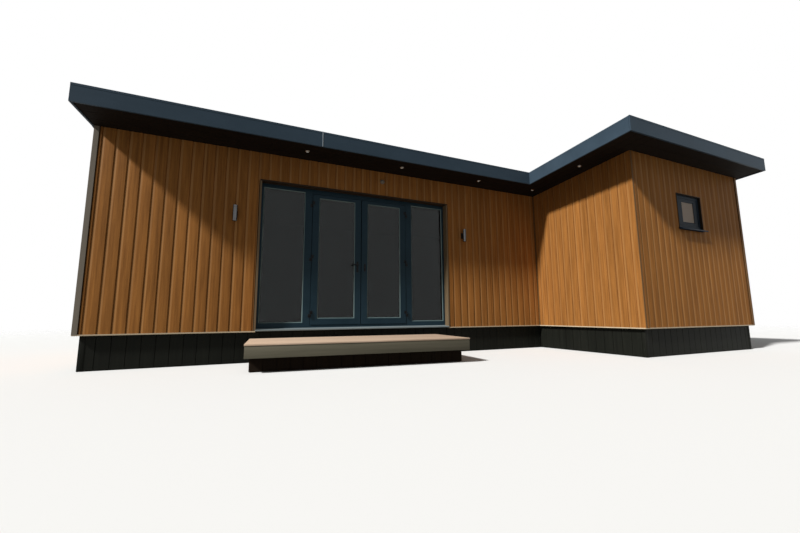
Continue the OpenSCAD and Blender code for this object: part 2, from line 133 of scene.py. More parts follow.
# %% Camera
PICTURE_WIDE, FOCAL_PIXELS = 800, 364.96
camera_data = bpy.data.cameras.new("camera")
camera_data.sensor_fit = "HORIZONTAL"
camera_data.sensor_width = 36.0
camera_data.lens = FOCAL_PIXELS / PICTURE_WIDE * camera_data.sensor_width
camera = bpy.data.objects.new("camera", camera_data)
bpy.context.scene.collection.objects.link(camera)
turn_right, look_up, lean = math.radians(24.021), math.radians(7.638), math.radians(-0.357)
camera.matrix_world = (
    Matrix.Translation((-3.319, -6.074, 0.625))
    @ Matrix.Rotation(-turn_right, 4, "Z")
    @ Matrix.Rotation(math.pi / 2 + look_up, 4, "X")
    @ Matrix.Rotation(lean, 4, "Z")
)
bpy.context.scene.camera = camera
bpy.context.scene.view_settings.view_transform = "Standard"
print("lens", round(camera_data.lens, 2), "mm")

# %% [markdown]
# ## Solids to start from
# Nearly everything on a building is a straight length of something. A cube scaled in the editor would do,
# but a script is shorter if it names two corners, so `block` does that. `prism` pushes a drawn section along
# a line, as a saw mill or an extruder does, and is used for boards and angles.

# %% Blocks and extruded sections
def block(bm, a, b):
    """A box between two opposite corners."""
    a, b = Vector(a), Vector(b)
    size = [abs(side) for side in b - a]
    place = Matrix.Translation((a + b) / 2) @ Matrix.Diagonal((*size, 1))
    return bmesh.ops.create_cube(bm, size=1, matrix=place)["verts"]


def prism(bm, section, *moves):
    """A flat section, given as points, pushed along one vector after another."""
    verts = [bm.verts.new(p) for p in section]
    face = bm.faces.new(verts)
    for move in moves:
        top = bmesh.ops.extrude_face_region(bm, geom=[face])["geom"]
        face = next(g for g in top if isinstance(g, bmesh.types.BMFace))
        raised = [v for v in top if isinstance(v, bmesh.types.BMVert)]
        bmesh.ops.translate(bm, vec=move, verts=raised)
        verts += raised
    return verts


# %% [markdown]
# ## Eased edges
# No real edge is perfectly sharp, and a narrow bevel catches the light. A Bevel modifier could do this at
# the end, but the operator lets a piece be eased before it is sawn, so that sawn ends stay sharp.

# %% Bevels
def bevelled(bm, edges, width, steps=1):
    bmesh.ops.bevel(bm, geom=edges, offset=width, offset_type="OFFSET", segments=steps, profile=0.5,
                    affect="EDGES", clamp_overlap=True, material=-1)


def ease(bm, width, steps=1, least=math.radians(30)):
    """Bevels every edge that turns sharply."""
    sharp = [e for e in bm.edges if len(e.link_faces) == 2 and e.calc_face_angle(0) > least]
    bevelled(bm, sharp, width, steps)


def rounded(bm, verts, width, steps=2):
    """Bevels all edges of one block."""
    bevelled(bm, list({e for v in verts for e in v.link_edges}), width, steps)


# %% [markdown]
# ## Round bars and turned parts
# `barrel` makes pins and lenses from a cylinder. Where a fitting has a shaped outline, `turned` spins its
# half section about an axis, as a lathe does.

# %% Barrels and spun sections
def barrel(bm, centre, radius, height, axis="Z", sides=32, rim=0.0):
    """A round bar about its centre, with eased rims."""
    place = Matrix.Translation(centre) @ Matrix.Rotation(math.pi / 2 if axis == "Y" else 0, 4, "X")
    verts = bmesh.ops.create_cone(bm, cap_ends=True, segments=sides, radius1=radius, radius2=radius,
                                  depth=height, matrix=place)["verts"]
    if rim:
        rims = {e for v in verts for e in v.link_edges if any(len(f.verts) > 4 for f in e.link_faces)}
        bevelled(bm, list(rims), rim, 2)
    return verts


def turned(bm, centre, section, steps, along=(0, 0, 1), closed=True):
    """Spins a section of (radius, way along the axis) about an axis through the centre."""
    centre, along = Vector(centre), Vector(along)
    verts = [bm.verts.new(centre + Vector((r, 0, 0)) + along * h) for r, h in section]
    edges = [bm.edges.new((verts[i - 1], verts[i])) for i in range(0 if closed else 1, len(verts))]
    bmesh.ops.spin(bm, geom=verts + edges, cent=centre, axis=along, angle=math.tau, steps=steps,
                   use_merge=True)


# %% [markdown]
# ## Saw and mitre
# `cut` saws with a plane and closes the cut. A boolean would do it too, but a plane keeps the faces clean,
# and all walls end at the same sloping plane under the roof. `frame_loop` carries a section round a
# rectangle with mitred corners, for frames, gaskets and spacers.

# %% Cuts and mitred frames
def cut(bm, point, away):
    """Saws off what lies on the side that `away` points to, and closes the cut."""
    whole = bm.verts[:] + bm.edges[:] + bm.faces[:]
    made = bmesh.ops.bisect_plane(bm, geom=whole, dist=1e-6, plane_co=point, plane_no=away,
                                  clear_outer=True)
    rim = [g for g in made["geom_cut"] if isinstance(g, bmesh.types.BMEdge) and g.is_boundary]
    if rim:
        bmesh.ops.holes_fill(bm, edges=rim, sides=0)


def cut_to_roof(bm, over=0.0):
    """Saws the top along the roof plane."""
    cut(bm, (0, 0, soffit_height(0) + over), (0, FALL, 1))


def frame_loop(bm, x0, x1, z0, z1, y0, section, wide):
    """Carries a section round a rectangle. A point is (share of the member's width, extra, depth), and
    wide gives the members' widths: left, right, bottom, top."""
    rings = []
    for sx, sz, x, z, wx, wz in (
        (-1, -1, x0, z0, wide[0], wide[2]), (1, -1, x1, z0, wide[1], wide[2]),
        (1, 1, x1, z1, wide[1], wide[3]), (-1, 1, x0, z1, wide[0], wide[3]),
    ):
        verts = [bm.verts.new((x + sx * (k * wx + c), y0 + d, z + sz * (k * wz + c))) for k, c, d in section]
        rings.append([bm.edges.new((verts[i - 1], verts[i])) for i in range(len(verts))])
    for i in range(4):
        bmesh.ops.bridge_loops(bm, edges=rings[i - 1] + rings[i])


# %% [markdown]
# ## From mesh to object
# A piece is often drawn in parts and in an easier place, so `put` moves a mesh under construction and
# `absorb` joins two. A board mesh lets each board keep a random number, from which the finish takes its
# tone. `finish` cleans the mesh and makes an object of it that stays at the origin and rides on its body.

# %% Joining, numbering and finishing a piece
def put(bm, matrix):
    """Moves all of a mesh under construction to its place."""
    bmesh.ops.transform(bm, matrix=matrix, verts=bm.verts)


def absorb(bm, part):
    """Adds another mesh under construction to this one."""
    carried = bpy.data.meshes.new("carried")
    part.to_mesh(carried)
    part.free()
    bm.from_mesh(carried)
    bpy.data.meshes.remove(carried)


def board_mesh():
    """A mesh under construction whose points can carry their board's own number."""
    bm = bmesh.new()
    bm.verts.layers.float.new("board")
    return bm


def number_board(bm, verts, label=None):
    """Gives a board the random number of its label, or the middle value."""
    layer = bm.verts.layers.float["board"]
    chance = random.Random(label).random() if label else 0.5
    for v in verts:
        v[layer] = chance


MADE = {}


def finish(name, bm, materials, replaces=(), body="building", smooth=35, paint=None):
    """Makes the object. `paint` gives a face's material number, where there is more than one."""
    bmesh.ops.remove_doubles(bm, verts=bm.verts, dist=1e-6)
    bmesh.ops.recalc_face_normals(bm, faces=bm.faces)
    bm.normal_update()
    if paint:
        for f in bm.faces:
            f.material_index = paint(f)
    mesh = bpy.data.meshes.new(name)
    bm.to_mesh(mesh)
    bm.free()
    mesh.shade_smooth()
    mesh.set_sharp_from_angle(angle=math.radians(smooth))
    piece = bpy.data.objects.new(name, mesh)
    bpy.context.scene.collection.objects.link(piece)
    for material in materials:
        mesh.materials.append(material)
    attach(piece, body)
    if replaces:
        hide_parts(*replaces)
    MADE[name] = len(mesh.polygons)
    print(f"{name}: {len(mesh.polygons)} faces")


# %% [markdown]
# ## Shader nodes
# Every finish is a small node tree. Nodes could be joined by hand in the Shader Editor, but in a script
# `add` makes a node and `feed` gives its sockets values or links, so that a node takes one statement.

# %% Colours and nodes
def srgb(r, g, b):
    """A colour written as 0 to 255, as a painter's chart gives it, made linear for the shader."""
    def line(c):
        c /= 255
        return c / 12.92 if c <= 0.04045 else ((c + 0.055) / 1.055) ** 2.4
    return (line(r), line(g), line(b), 1.0)


def feed(tree, node, values):
    """Gives sockets, by name or number, a plain value or the output of another node."""
    for socket, value in values.items():
        if isinstance(value, bpy.types.NodeSocket):
            tree.links.new(value, node.inputs[socket])
        else:
            node.inputs[socket].default_value = value


def add(tree, kind, values=None, **settings):
    """A new shader node with its settings made and its sockets fed."""
    node = tree.nodes.new("ShaderNode" + kind)
    for key, value in settings.items():
        setattr(node, key, value)
    feed(tree, node, values or {})
    return node


def blank(name):
    """A new material with its node tree and its Principled shader."""
    mat = bpy.data.materials.new(name)
    mat.use_nodes = True
    return mat, mat.node_tree, mat.node_tree.nodes["Principled BSDF"]


# %% [markdown]
# ## Stage
# A garden office in a studio: a pale floor that fades into a white surround, and an even fill from all
# round. Floor and surround are pale only where the camera, gloss and glass meet them. What lights the boards
# is a plain grey, and each colour renders about as it is written.

# %% Floor and surround
def seen(tree):
    """1 for rays from the camera, in gloss and through glass, and 0 for those that gather light."""
    ray = add(tree, "LightPath").outputs
    value = ray["Is Camera Ray"]
    for kind in ("Is Glossy Ray", "Is Transmission Ray"):
        value = add(tree, "Math", {0: value, 1: ray[kind]}, operation="MAXIMUM").outputs[0]
    return value


def studio_floor():
    mat, tree, paint = blank("studio_floor")
    grey, pale = srgb(122, 121, 118), srgb(230, 229, 226)
    tone = add(tree, "Mix", {0: seen(tree), 6: grey, 7: pale}, data_type="RGBA")
    feed(tree, paint, {"Base Color": tone.outputs[2], "Roughness": 0.9, "Specular IOR Level": 0.1})
    place = add(tree, "TexCoord").outputs["Object"]
    reach = add(tree, "VectorMath", {0: place}, operation="LENGTH").outputs["Value"]
    fade = add(tree, "MapRange", {"Value": reach, "From Min": 7.0, "From Max": 26.0},
               interpolation_type="SMOOTHSTEP").outputs["Result"]
    clear = add(tree, "BsdfTransparent").outputs["BSDF"]
    mix = add(tree, "MixShader", {0: fade, 1: paint.outputs["BSDF"], 2: clear})
    feed(tree, tree.nodes["Material Output"], {"Surface": mix.outputs["Shader"]})
    return mat


def studio_world():
    world = bpy.data.worlds.new("surround")
    world.use_nodes = True
    tree = world.node_tree
    tree.nodes.clear()
    fill = add(tree, "Background", {"Color": (0.95, 0.98, 1, 1), "Strength": 0.2})
    white = add(tree, "Background", {"Color": (1, 1, 1, 1), "Strength": 1.0})
    mix = add(tree, "MixShader", {0: seen(tree), 1: fill.outputs[0], 2: white.outputs[0]})
    add(tree, "OutputWorld", {"Surface": mix.outputs[0]})
    return world


ground = bmesh.new()
bmesh.ops.create_grid(ground, x_segments=8, y_segments=8, size=30)
ground_mesh = bpy.data.meshes.new("floor")
ground.to_mesh(ground_mesh)
ground.free()
ground_mesh.materials.append(studio_floor())
floor = bpy.data.objects.new("floor", ground_mesh)
floor.location.z = -0.002
bpy.context.scene.collection.objects.link(floor)
floor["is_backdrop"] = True
bpy.context.scene.world = studio_world()
print("floor and surround made")

# %% [markdown]
# ## Lamp
# One broad soft lamp stands high on the left. It grazes the main front and meets the wing's side almost
# square, which gives the two fronts their different brightness and puts the eaves' shadow on the boards.
# Light from it that could only come through glass is left out of the sampling, because it would show as
# noise.

# %% Lamp
lamp = bpy.data.lights.new("key", "SUN")
lamp.energy, lamp.angle = 4.9, math.radians(5)
lamp.cycles.use_multiple_importance_sampling = False
holder = bpy.data.objects.new("key", lamp)
holder.rotation_mode = "QUATERNION"
holder.rotation_quaternion = Vector((1.15, 0.294, -1.0)).to_track_quat("-Z", "Y")
bpy.context.scene.collection.objects.link(holder)
print("lamp", lamp.energy)

# %% [markdown]
# ## How a finish is built
# A believable finish is a base colour that wanders a little, a roughness that wanders with it, and a fine
# bump. `surface` sets that up from noise on Object coordinates, stretched along the grain. A value that is
# the same everywhere goes straight onto the shader's socket. Boards carry a random number, so that no two
# have quite the same tone.

# %% Material builder
def ramp(tree, value, dark, light, low=0.0, high=1.0):
    """A colour from dark to light while the value goes from low to high."""
    node = add(tree, "ValToRGB", {"Fac": value})
    start, stop = node.color_ramp.elements
    start.position, stop.position = low, high
    start.color, stop.color = dark, light
    return node.outputs["Color"]


def surface(name, dark, light, rough, grain=(1, 1, 1), scale=6.0, bump=0.0, bump_scale=60.0, metal=0.0,
            toned=0.0, rough_spread=0.08, specular=0.5, turn=0.0):
    """Base colour between dark and light by noise, stretched by grain; toned is each board's own shift, and
    turn lays the grain along a piece that stands askew."""
    mat, tree, shader = blank(name)
    at = add(tree, "Mapping", {
        "Vector": add(tree, "TexCoord").outputs["Object"], "Rotation": (0, 0, turn),
        "Scale": [1 / g for g in grain]}, vector_type="TEXTURE").outputs["Vector"]
    if toned:
        board = add(tree, "Attribute", attribute_name="board").outputs["Fac"]
        far = add(tree, "Math", {0: board, 1: BOARD_SHIFT}, operation="MULTIPLY").outputs[0]
        apart = add(tree, "CombineXYZ", {"X": far, "Y": far, "Z": far}).outputs["Vector"]
        at = add(tree, "VectorMath", {0: at, 1: apart}, operation="ADD").outputs["Vector"]
    noise = add(tree, "TexNoise", {"Vector": at, "Scale": scale, "Detail": 6.0, "Roughness": 0.62})
    wander = noise.outputs["Fac"]
    colour = ramp(tree, wander, srgb(*dark), srgb(*light), 0.3, 0.72)
    if toned:
        level = add(tree, "MapRange", {"Value": board, "To Min": 1 - toned, "To Max": 1 + toned})
        colour = add(tree, "VectorMath", {0: colour, "Scale": level.outputs["Result"]},
                     operation="SCALE").outputs["Vector"]
    matt = add(tree, "MapRange", {"Value": wander, "To Min": max(0.02, rough - rough_spread),
                                  "To Max": min(1.0, rough + rough_spread)})
    feed(tree, shader, {"Metallic": metal, "Specular IOR Level": specular, "Base Color": colour,
                        "Roughness": matt.outputs["Result"]})
    if bump:
        fine = add(tree, "TexNoise", {"Vector": at, "Scale": bump_scale, "Detail": 4.0}).outputs["Fac"]
        raised = add(tree, "Bump", {"Height": fine, "Strength": bump, "Distance": 0.0015})
        feed(tree, shader, {"Normal": raised.outputs["Normal"]})
    return mat


BOARD_SHIFT = 37.0

# %% [markdown]
# ## The finishes of this building
# Each finish has a dark and a light tone, a roughness and the way of its grain. `UPRIGHT` and `LENGTHWISE`
# stretch the noise along the boards. The step stands askew, so its grain is turned with it. Powder-coated
# parts are paint to the eye, so they get little contrast and no metallic value. Only the wall lights' steel
# and the downlights' rings are metallic.

# %% Finishes
UPRIGHT, LENGTHWISE = (1, 1, 0.045), (0.05, 1, 1)
STEP_TURN = math.radians(-4.8)
CLAD = surface("timber_cladding", (126, 81, 38), (168, 112, 55), 0.62, UPRIGHT, 34, 0.5, 150,
               toned=0.1, specular=0.08)
# Painted highlight: the chamfers are paler than the faces, for the light that they catch.
CLAD_CHAMFER_HIGHLIGHT = surface("cladding_chamfer_painted_highlight", (146, 100, 54), (174, 123, 70), 0.5, UPRIGHT, 20, 0.1, 90,
                    toned=0.06, specular=0.15)
# Painted shade: the wall bodies are a brown darker than the boards, so that the grooves between boards read as
# shaded.
GROOVE_SHADE_BROWN = surface("board_tongues_painted_groove_shade", (78, 50, 25), (98, 65, 34), 0.75, UPRIGHT, 20, specular=0.08)
LINING = surface("painted_lining", (150, 150, 146), (162, 161, 156), 0.75, scale=3, bump=0.1)
CEILING = surface("ceiling_paint", (176, 175, 170), (186, 185, 181), 0.8, scale=3, bump=0.1)
TRIM = surface("grey_beige_trim", (110, 102, 90), (128, 119, 106), 0.45, UPRIGHT, 8, 0.08, 120,
               specular=0.2)
FOOT_TRIM = surface("cream_foot_trim", (186, 168, 140), (204, 187, 158), 0.45, LENGTHWISE, 8, 0.08,
                    120, specular=0.3)
REVEAL = surface("beige_reveal_trim", (102, 85, 63), (118, 100, 76), 0.45, UPRIGHT, 8, 0.08, 120,
                 specular=0.12)
ANGLE = surface("brown_angle", (106, 75, 43), (126, 91, 54), 0.55, UPRIGHT, 12, 0.08, 120,
                specular=0.1)
# Painted shade: a near-black brown for the doorway's head and the window's reveal, where shade falls.
BRONZE_SHADE = surface("dark_angle_painted_shade", (40, 30, 21), (53, 41, 30), 0.55, UPRIGHT, 12, 0.08, 120,
                 specular=0.08)
PLINTH = surface("charcoal_plinth_board", (17, 18, 14), (28, 29, 24), 0.6, UPRIGHT, 24, 0.35, 120,
                 toned=0.12, specular=0.08)
FASCIA = surface("slate_fascia", (48, 62, 73), (58, 73, 85), 0.5, (0.5, 1, 1), 2.2, 0.05, 200,
                 rough_spread=0.05, specular=0.08)
# Painted highlight: the rim's upward faces are a paler, glossier slate than the fascia, for light on its top
# edge.
FASCIA_TOP_HIGHLIGHT = surface("fascia_rim", (64, 82, 95), (76, 95, 109), 0.38, scale=3, specular=0.2)
SILVER = surface("silver_joint_strip", (124, 132, 138), (142, 150, 155), 0.4, scale=5, specular=0.2)
SOFFIT = surface("dark_soffit_board", (19, 14, 10), (29, 22, 16), 0.7, LENGTHWISE, 30, 0.3, 120,
                 toned=0.1, specular=0.04)
MEMBRANE = surface("roof_membrane", (66, 70, 73), (84, 88, 90), 0.7, scale=1.4, bump=0.25,
                   bump_scale=40)
FRAME = surface("anthracite_frame", (28, 47, 57), (37, 57, 68), 0.42, scale=3, bump=0.06,
                bump_scale=260, rough_spread=0.05, specular=0.08)
# Painted shade: a darker copy of the door frames' anthracite, for the window and its sill in the eaves' shade.
WINDOW_FRAME_SHADED = surface("window_frame_painted_shade", (24, 33, 42), (32, 42, 52), 0.42, scale=3, bump=0.06,
                       bump_scale=260, rough_spread=0.05, specular=0.05)
BEAD = surface("pale_glazing_bead", (84, 104, 104), (98, 118, 118), 0.4, scale=5, specular=0.3)
# Painted shade: a near-black layer for the plinth's core in the gaps and for the roof slab's underside.
SHADE_LAYER = surface("dark_layer_painted_shade", (14, 14, 13), (22, 22, 21), 0.8, scale=12, specular=0.08)
GASKET = surface("black_gasket", (12, 13, 14), (20, 21, 22), 0.6, scale=30)
# Painted reflection: the steel's colour is kept dark, for the dark surroundings that the real tube reflects.
STEEL_DARK_REFLECTION = surface("brushed_steel_painted_reflection", (74, 75, 76), (96, 96, 97), 0.26, (1, 1, 0.05), 60, 0.1, 200,
                metal=1.0)
DARK_METAL = surface("dark_fittings", (10, 11, 13), (19, 20, 22), 0.4, scale=20, bump=0.05,
                     specular=0.12)
SILL = surface("sill_aluminium", (108, 119, 121), (126, 136, 138), 0.4, (0.1, 1, 1), 12, specular=0.2)
DECK = surface("beige_deck_board", (176, 150, 126), (204, 179, 155), 0.68, LENGTHWISE, 30, 0.45, 130,
               toned=0.05, specular=0.25, turn=STEP_TURN)
STEP_FACE = surface("olive_grey_board", (80, 76, 62), (100, 95, 79), 0.6, LENGTHWISE, 18, 0.3, 110,
                    specular=0.25, turn=STEP_TURN)
STEP_BASE = surface("dark_step_base", (24, 17, 11), (38, 28, 19), 0.8, UPRIGHT, 20, 0.3, 90,
                    specular=0.08)
FLOORING = surface("oak_floor", (122, 92, 62), (152, 118, 82), 0.5, LENGTHWISE, 22, 0.2, 120,
                   toned=0.08)
SLAB = surface("floor_deck", (96, 88, 76), (116, 107, 93), 0.8, scale=8)
LIGHT_RING = surface("downlight_ring", (190, 190, 186), (210, 210, 206), 0.22, scale=12, metal=0.9)
print("finishes:", len(bpy.data.materials))

# %% [markdown]
# ## Glass
# Clear glass is the Principled shader with full transmission. The panes are lightly tinted, because the
# room behind is dark and the real doors look almost black. Their index is lower than that of real glass,
# since a white studio would show too brightly in a pane. The inner panes reflect less still, which saves
# the doubled image of two equal sheets. The small window has obscured glass, which is a cloudy beige with
# fine upright reeds.

# %% Glass, obscured glass and lamp lens
def glazing(name, colour, rough, transmission, reeds=0.0, specular=0.5, index=1.45):
    mat, tree, shader = blank(name)
    place = add(tree, "TexCoord").outputs["Object"]
    cloud = add(tree, "TexNoise", {"Vector": place, "Scale": 2.5}).outputs["Fac"]
    clear = srgb(*colour)
    dull = (*(c * 0.93 for c in clear[:3]), 1)
    feed(tree, shader, {"IOR": index, "Transmission Weight": transmission, "Specular IOR Level": specular,
                        "Roughness": rough, "Base Color": ramp(tree, cloud, dull, clear)})
    if reeds:
        smear = add(tree, "MapRange", {"Value": cloud, "To Min": rough - 0.08, "To Max": rough + 0.08})
        wave = add(tree, "TexWave", {"Vector": place, "Scale": reeds, "Distortion": 0.4}, bands_direction="X")
        raised = add(tree, "Bump", {"Height": wave.outputs["Fac"], "Strength": 0.35, "Distance": 0.001})
        feed(tree, shader, {"Roughness": smear.outputs["Result"], "Normal": raised.outputs["Normal"]})
    return mat


GLASS = glazing("tinted_glass", (158, 168, 168), 0.0, 1.0, index=1.3)
INNER_GLASS = glazing("coated_inner_glass", (158, 168, 168), 0.0, 1.0, specular=0.1, index=1.2)
OBSCURED = glazing("obscured_glass", (150, 128, 106), 0.45, 0.25, reeds=40, specular=0.3)
LENS = glazing("lamp_lens", (232, 230, 222), 0.25, 0.35, reeds=90)

# %% [markdown]
# ## Cladding boards
# The cladding is vertical composite board. Each board has a flat face, a wide chamfer on its left that
# catches the light, and a tongue on its right that closes the groove to the next. The chamfer is also painted
# paler than the face, as a painted highlight. In light that grazes the wall the groove is dark, and face on it
# hardly shows. The profile is drawn once and pushed up the wall. A run of boards is then sawn to the ends of
# the wall, to an opening, and to the slope of the roof, in the same order as on site. A hair's gap keeps
# pieces from sharing a face.

# %% Boards of one field
BOARD, FIRST_GROOVE, GAP, CHAMFER = 0.1411, 0.0885, 0.011, 0.029
BOARD_DEEP, TONGUE, TRIM_WIDE, HAIR = 0.016, 0.012, 0.055, 0.0005


def board_section(start, foot):
    end = start + BOARD - GAP
    points = ((start, BOARD_DEEP), (start, 0.008), (start + CHAMFER, 0), (end - 0.0012, 0), (end, 0.0012),
              (end, TONGUE), (end + GAP - HAIR, TONGUE), (end + GAP - HAIR, BOARD_DEEP))
    return [(x, y, foot) for x, y in points]


def board_field(side, x0, x1, foot, head):
    """Boards between x0 and x1 on a side, from foot to head."""
    field = board_mesh()
    number = math.floor((x0 - FIRST_GROOVE) / BOARD)
    while FIRST_GROOVE + number * BOARD < x1:
        board = prism(field, board_section(FIRST_GROOVE + number * BOARD, foot), (0, 0, head - foot))
        number_board(field, board, f"{side} board {number}")
        number += 1
    cut(field, (x0, 0, 0), (-1, 0, 0))
    cut(field, (x1, 0, 0), (1, 0, 0))
    return field


def is_chamfer(side):
    """Tells the chamfer from the face by how it is turned; the chamfer takes the paler painted highlight."""
    out = side_matrix(side).to_3x3() @ Vector((0, -1, 0))
    return lambda f: 1 if 0.6 < f.normal.dot(out) < 0.99 else 0


def clad(name, side, fields, node):
    boards = board_mesh()
    for field in fields:
        absorb(boards, board_field(side, *field))
    put(boards, side_matrix(side))
    cut_to_roof(boards, ROOF_PLAY)
    finish(name, boards, [CLAD, CLAD_CHAMFER_HIGHLIGHT], [node], paint=is_chamfer(side))


HIGH, ROOF_PLAY = 3.2, 0.004

# %% [markdown]
# ## Cladding, wall by wall
# The front is clad in three runs, left of the doors, over them and right of them, because the CAD has a
# solid for each. The wing's front goes round the window in four. All other walls are plain. At most corners
# the boards stop short and leave room for the trim.

# %% Cladding of every wall
END, DOOR_STOP = TRIM_WIDE + 0.006, 0.034
WING_BATTEN = FIRST_GROOVE - GAP - 0.0015
door_a, door_b = DOOR_LEFT - LEFT, DOOR_RIGHT - LEFT
stop_a, stop_b = door_a - DOOR_STOP, door_b + DOOR_STOP
clad("cladding_front_left", "main_front", [(END, stop_a, FOOT, HIGH)], "front_wall_left")
clad("cladding_over_doors", "main_front", [(stop_a, stop_b, DOOR_HEAD, HIGH)], "front_wall_over_doors")
clad("cladding_front_right", "main_front", [(stop_b, length("main_front") - 0.02, FOOT, HIGH)],
     "front_wall_right")
clad("cladding_wing_left", "wing_left", [(0.02, length("wing_left") - HAIR, FOOT, HIGH)], "wing_left_wall")
WINDOW = [v - Vector((INNER, WING_FRONT, 0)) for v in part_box("window_frame")]
SILL_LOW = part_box("window_sill")[0].z


def round_window(start, stop):
    """Stretches of the wing's front from start to stop: beside, below and over the window."""
    (x0, _, _), (x1, _, z1) = WINDOW
    return [(start, x0, FOOT, HIGH), (x1, stop, FOOT, HIGH), (x0, x1, FOOT, SILL_LOW), (x0, x1, z1, HIGH)]


clad("cladding_wing_front", "wing_front", round_window(FIRST_GROOVE - GAP / 2, length("wing_front") - END),
     "wing_front_wall")
for side in ("right", "back", "left"):
    clad(f"cladding_{side}", side, [(END, length(side) - END, FOOT, HIGH)], f"{side}_wall")

# %% [markdown]
# ## The walls behind the boards
# The building is hollow, so each wall also has its own body, with a painted lining indoors. Where the body
# could show between the boards it is a brown darker than the boards, which is painted shade for the grooves.
# One block per stretch of wall is enough. The faces that look indoors take the lining's paint and all others
# the dark brown, chosen by where the face points.

# %% Wall cores and ceiling
def wall_core(side, stretches):
    core = bmesh.new()
    for x0, x1, foot, head in stretches:
        block(core, (x0, BOARD_DEEP - 0.001, foot), (x1, WALL, head))
    put(core, side_matrix(side))
    cut_to_roof(core, ROOF_PLAY)
    # Faces that look out take the darker brown of the painted groove shade, and faces that look in take the
    # lining.
    inward = side_matrix(side).to_3x3() @ Vector((0, 1, 0))
    finish(f"wall_core_{side.removeprefix('main_')}", core, [GROOVE_SHADE_BROWN, LINING],
           paint=lambda f: 1 if f.normal.dot(inward) > 0.5 else 0)


wall_core("main_front", [
    (BOARD_DEEP, door_a, FOOT, HIGH), (door_a, door_b, DOOR_HEAD, HIGH),
    (door_b, length("main_front") + BOARD_DEEP, FOOT, HIGH)])
wall_core("wing_left", [(-WALL, length("wing_left") - WALL, FOOT, HIGH)])
wall_core("wing_front", round_window(BOARD_DEEP, length("wing_front") - BOARD_DEEP))
for side, inset in (("right", WALL), ("back", BOARD_DEEP), ("left", WALL)):
    wall_core(side, [(inset, length(side) - inset, FOOT, HIGH)])

ceiling = bmesh.new()
for y0, x0, y1 in ((FRONT, LEFT, BACK - WALL), (WING_FRONT, INNER, FRONT + WALL)):
    block(ceiling, (x0 + WALL, y0 + WALL, -0.006), (RIGHT - WALL, y1, 0.0095))
put(ceiling, ON_SLOPE)
finish("ceiling_lining", ceiling, [CEILING])

# %% [markdown]
# ## Corner trims
# Metal angles close the corners. Each is an L section pushed up from the foot of the cladding and sawn to
# the roof. Three of them are grey-beige and the one at the wing's right end is brown. On the wing's other
# corner the side's boards run right to the arris, and a brown angle and a batten of the boards' own colour
# lie on the front. The inner corner has only a slim brown angle.

# %% Corner angles and the wing's batten
def corner_trim(name, corners, material, replaces=(), leg=0.049, proud=0.0055, skin=0.003):
    """An L round each corner (x, y), with legs that run towards (sx, sy)."""
    trims = bmesh.new()
    outline = ((-proud, -proud), (leg, -proud), (leg, skin), (skin, skin), (skin, leg), (-proud, leg))
    for x, y, sx, sy in corners:
        prism(trims, [(x + sx * a, y + sy * b, FOOT) for a, b in outline], (0, 0, HIGH - FOOT))
    ease(trims, 0.0012)
    cut_to_roof(trims, -HAIR)
    finish(name, trims, [material], replaces)


corner_trim("corner_trims_outer", [(LEFT, FRONT, 1, 1), (LEFT, BACK, 1, -1), (RIGHT, BACK, -1, -1)],
            TRIM, ["corner_trims"])
corner_trim("corner_trim_wing", [(RIGHT, WING_FRONT, -1, 1)], ANGLE)
corner_trim("corner_trim_inner", [(INNER, FRONT, -1, -1)], ANGLE, leg=0.014, proud=-0.0005)
WING_ANGLE = 0.038
for name, x0, x1, proud, material in (
    ("wing_corner_angle", 0.0002, WING_ANGLE, 0.0045, ANGLE),
    ("wing_corner_batten", WING_ANGLE + 0.001, WING_BATTEN, 0.0055, CLAD),
):
    board = board_mesh()
    low, high = (INNER + x0, WING_FRONT - proud, FOOT), (INNER + x1, WING_FRONT + 0.015, HIGH)
    number_board(board, block(board, low, high))
    ease(board, 0.0015)
    cut_to_roof(board, -HAIR)
    finish(name, board, [material])

# %% [markdown]
# ## Foot trim
# A cream metal strip closes the foot of the boards all round and covers the step back to the plinth. It is
# drawn along each side in two blocks, a flat one underneath and a thin upright one in front. At the doors
# it stops.

# %% Foot trim
PLINTH_IN, FOOT_TRIM_LOW = 0.06, FOOT - 0.010
foot = bmesh.new()
for side in SIDES:
    strip = bmesh.new()
    runs = [(0.0, length(side))]
    if side == "main_front":
        runs = [(0.0, door_a), (door_b, length(side) + PLINTH_IN)]
    for x0, x1 in runs:
        block(strip, (x0, 0.0, FOOT_TRIM_LOW), (x1, PLINTH_IN, FOOT - HAIR))
        block(strip, (x0, -0.0045, FOOT_TRIM_LOW), (x1, -0.0005, FOOT + 0.006))
    put(strip, side_matrix(side))
    ease(strip, 0.001)
    absorb(foot, strip)
finish("foot_trims_all_round", foot, [FOOT_TRIM], ["foot_trims"])

# %% [markdown]
# ## Trims of the doorway
# The boards end at the doorway in a beige angle on either hand, and a drip runs over the head. The drip and
# the plate under the head are near black, as painted shade under the head.
# Each has one section from end to end, so both are prisms.

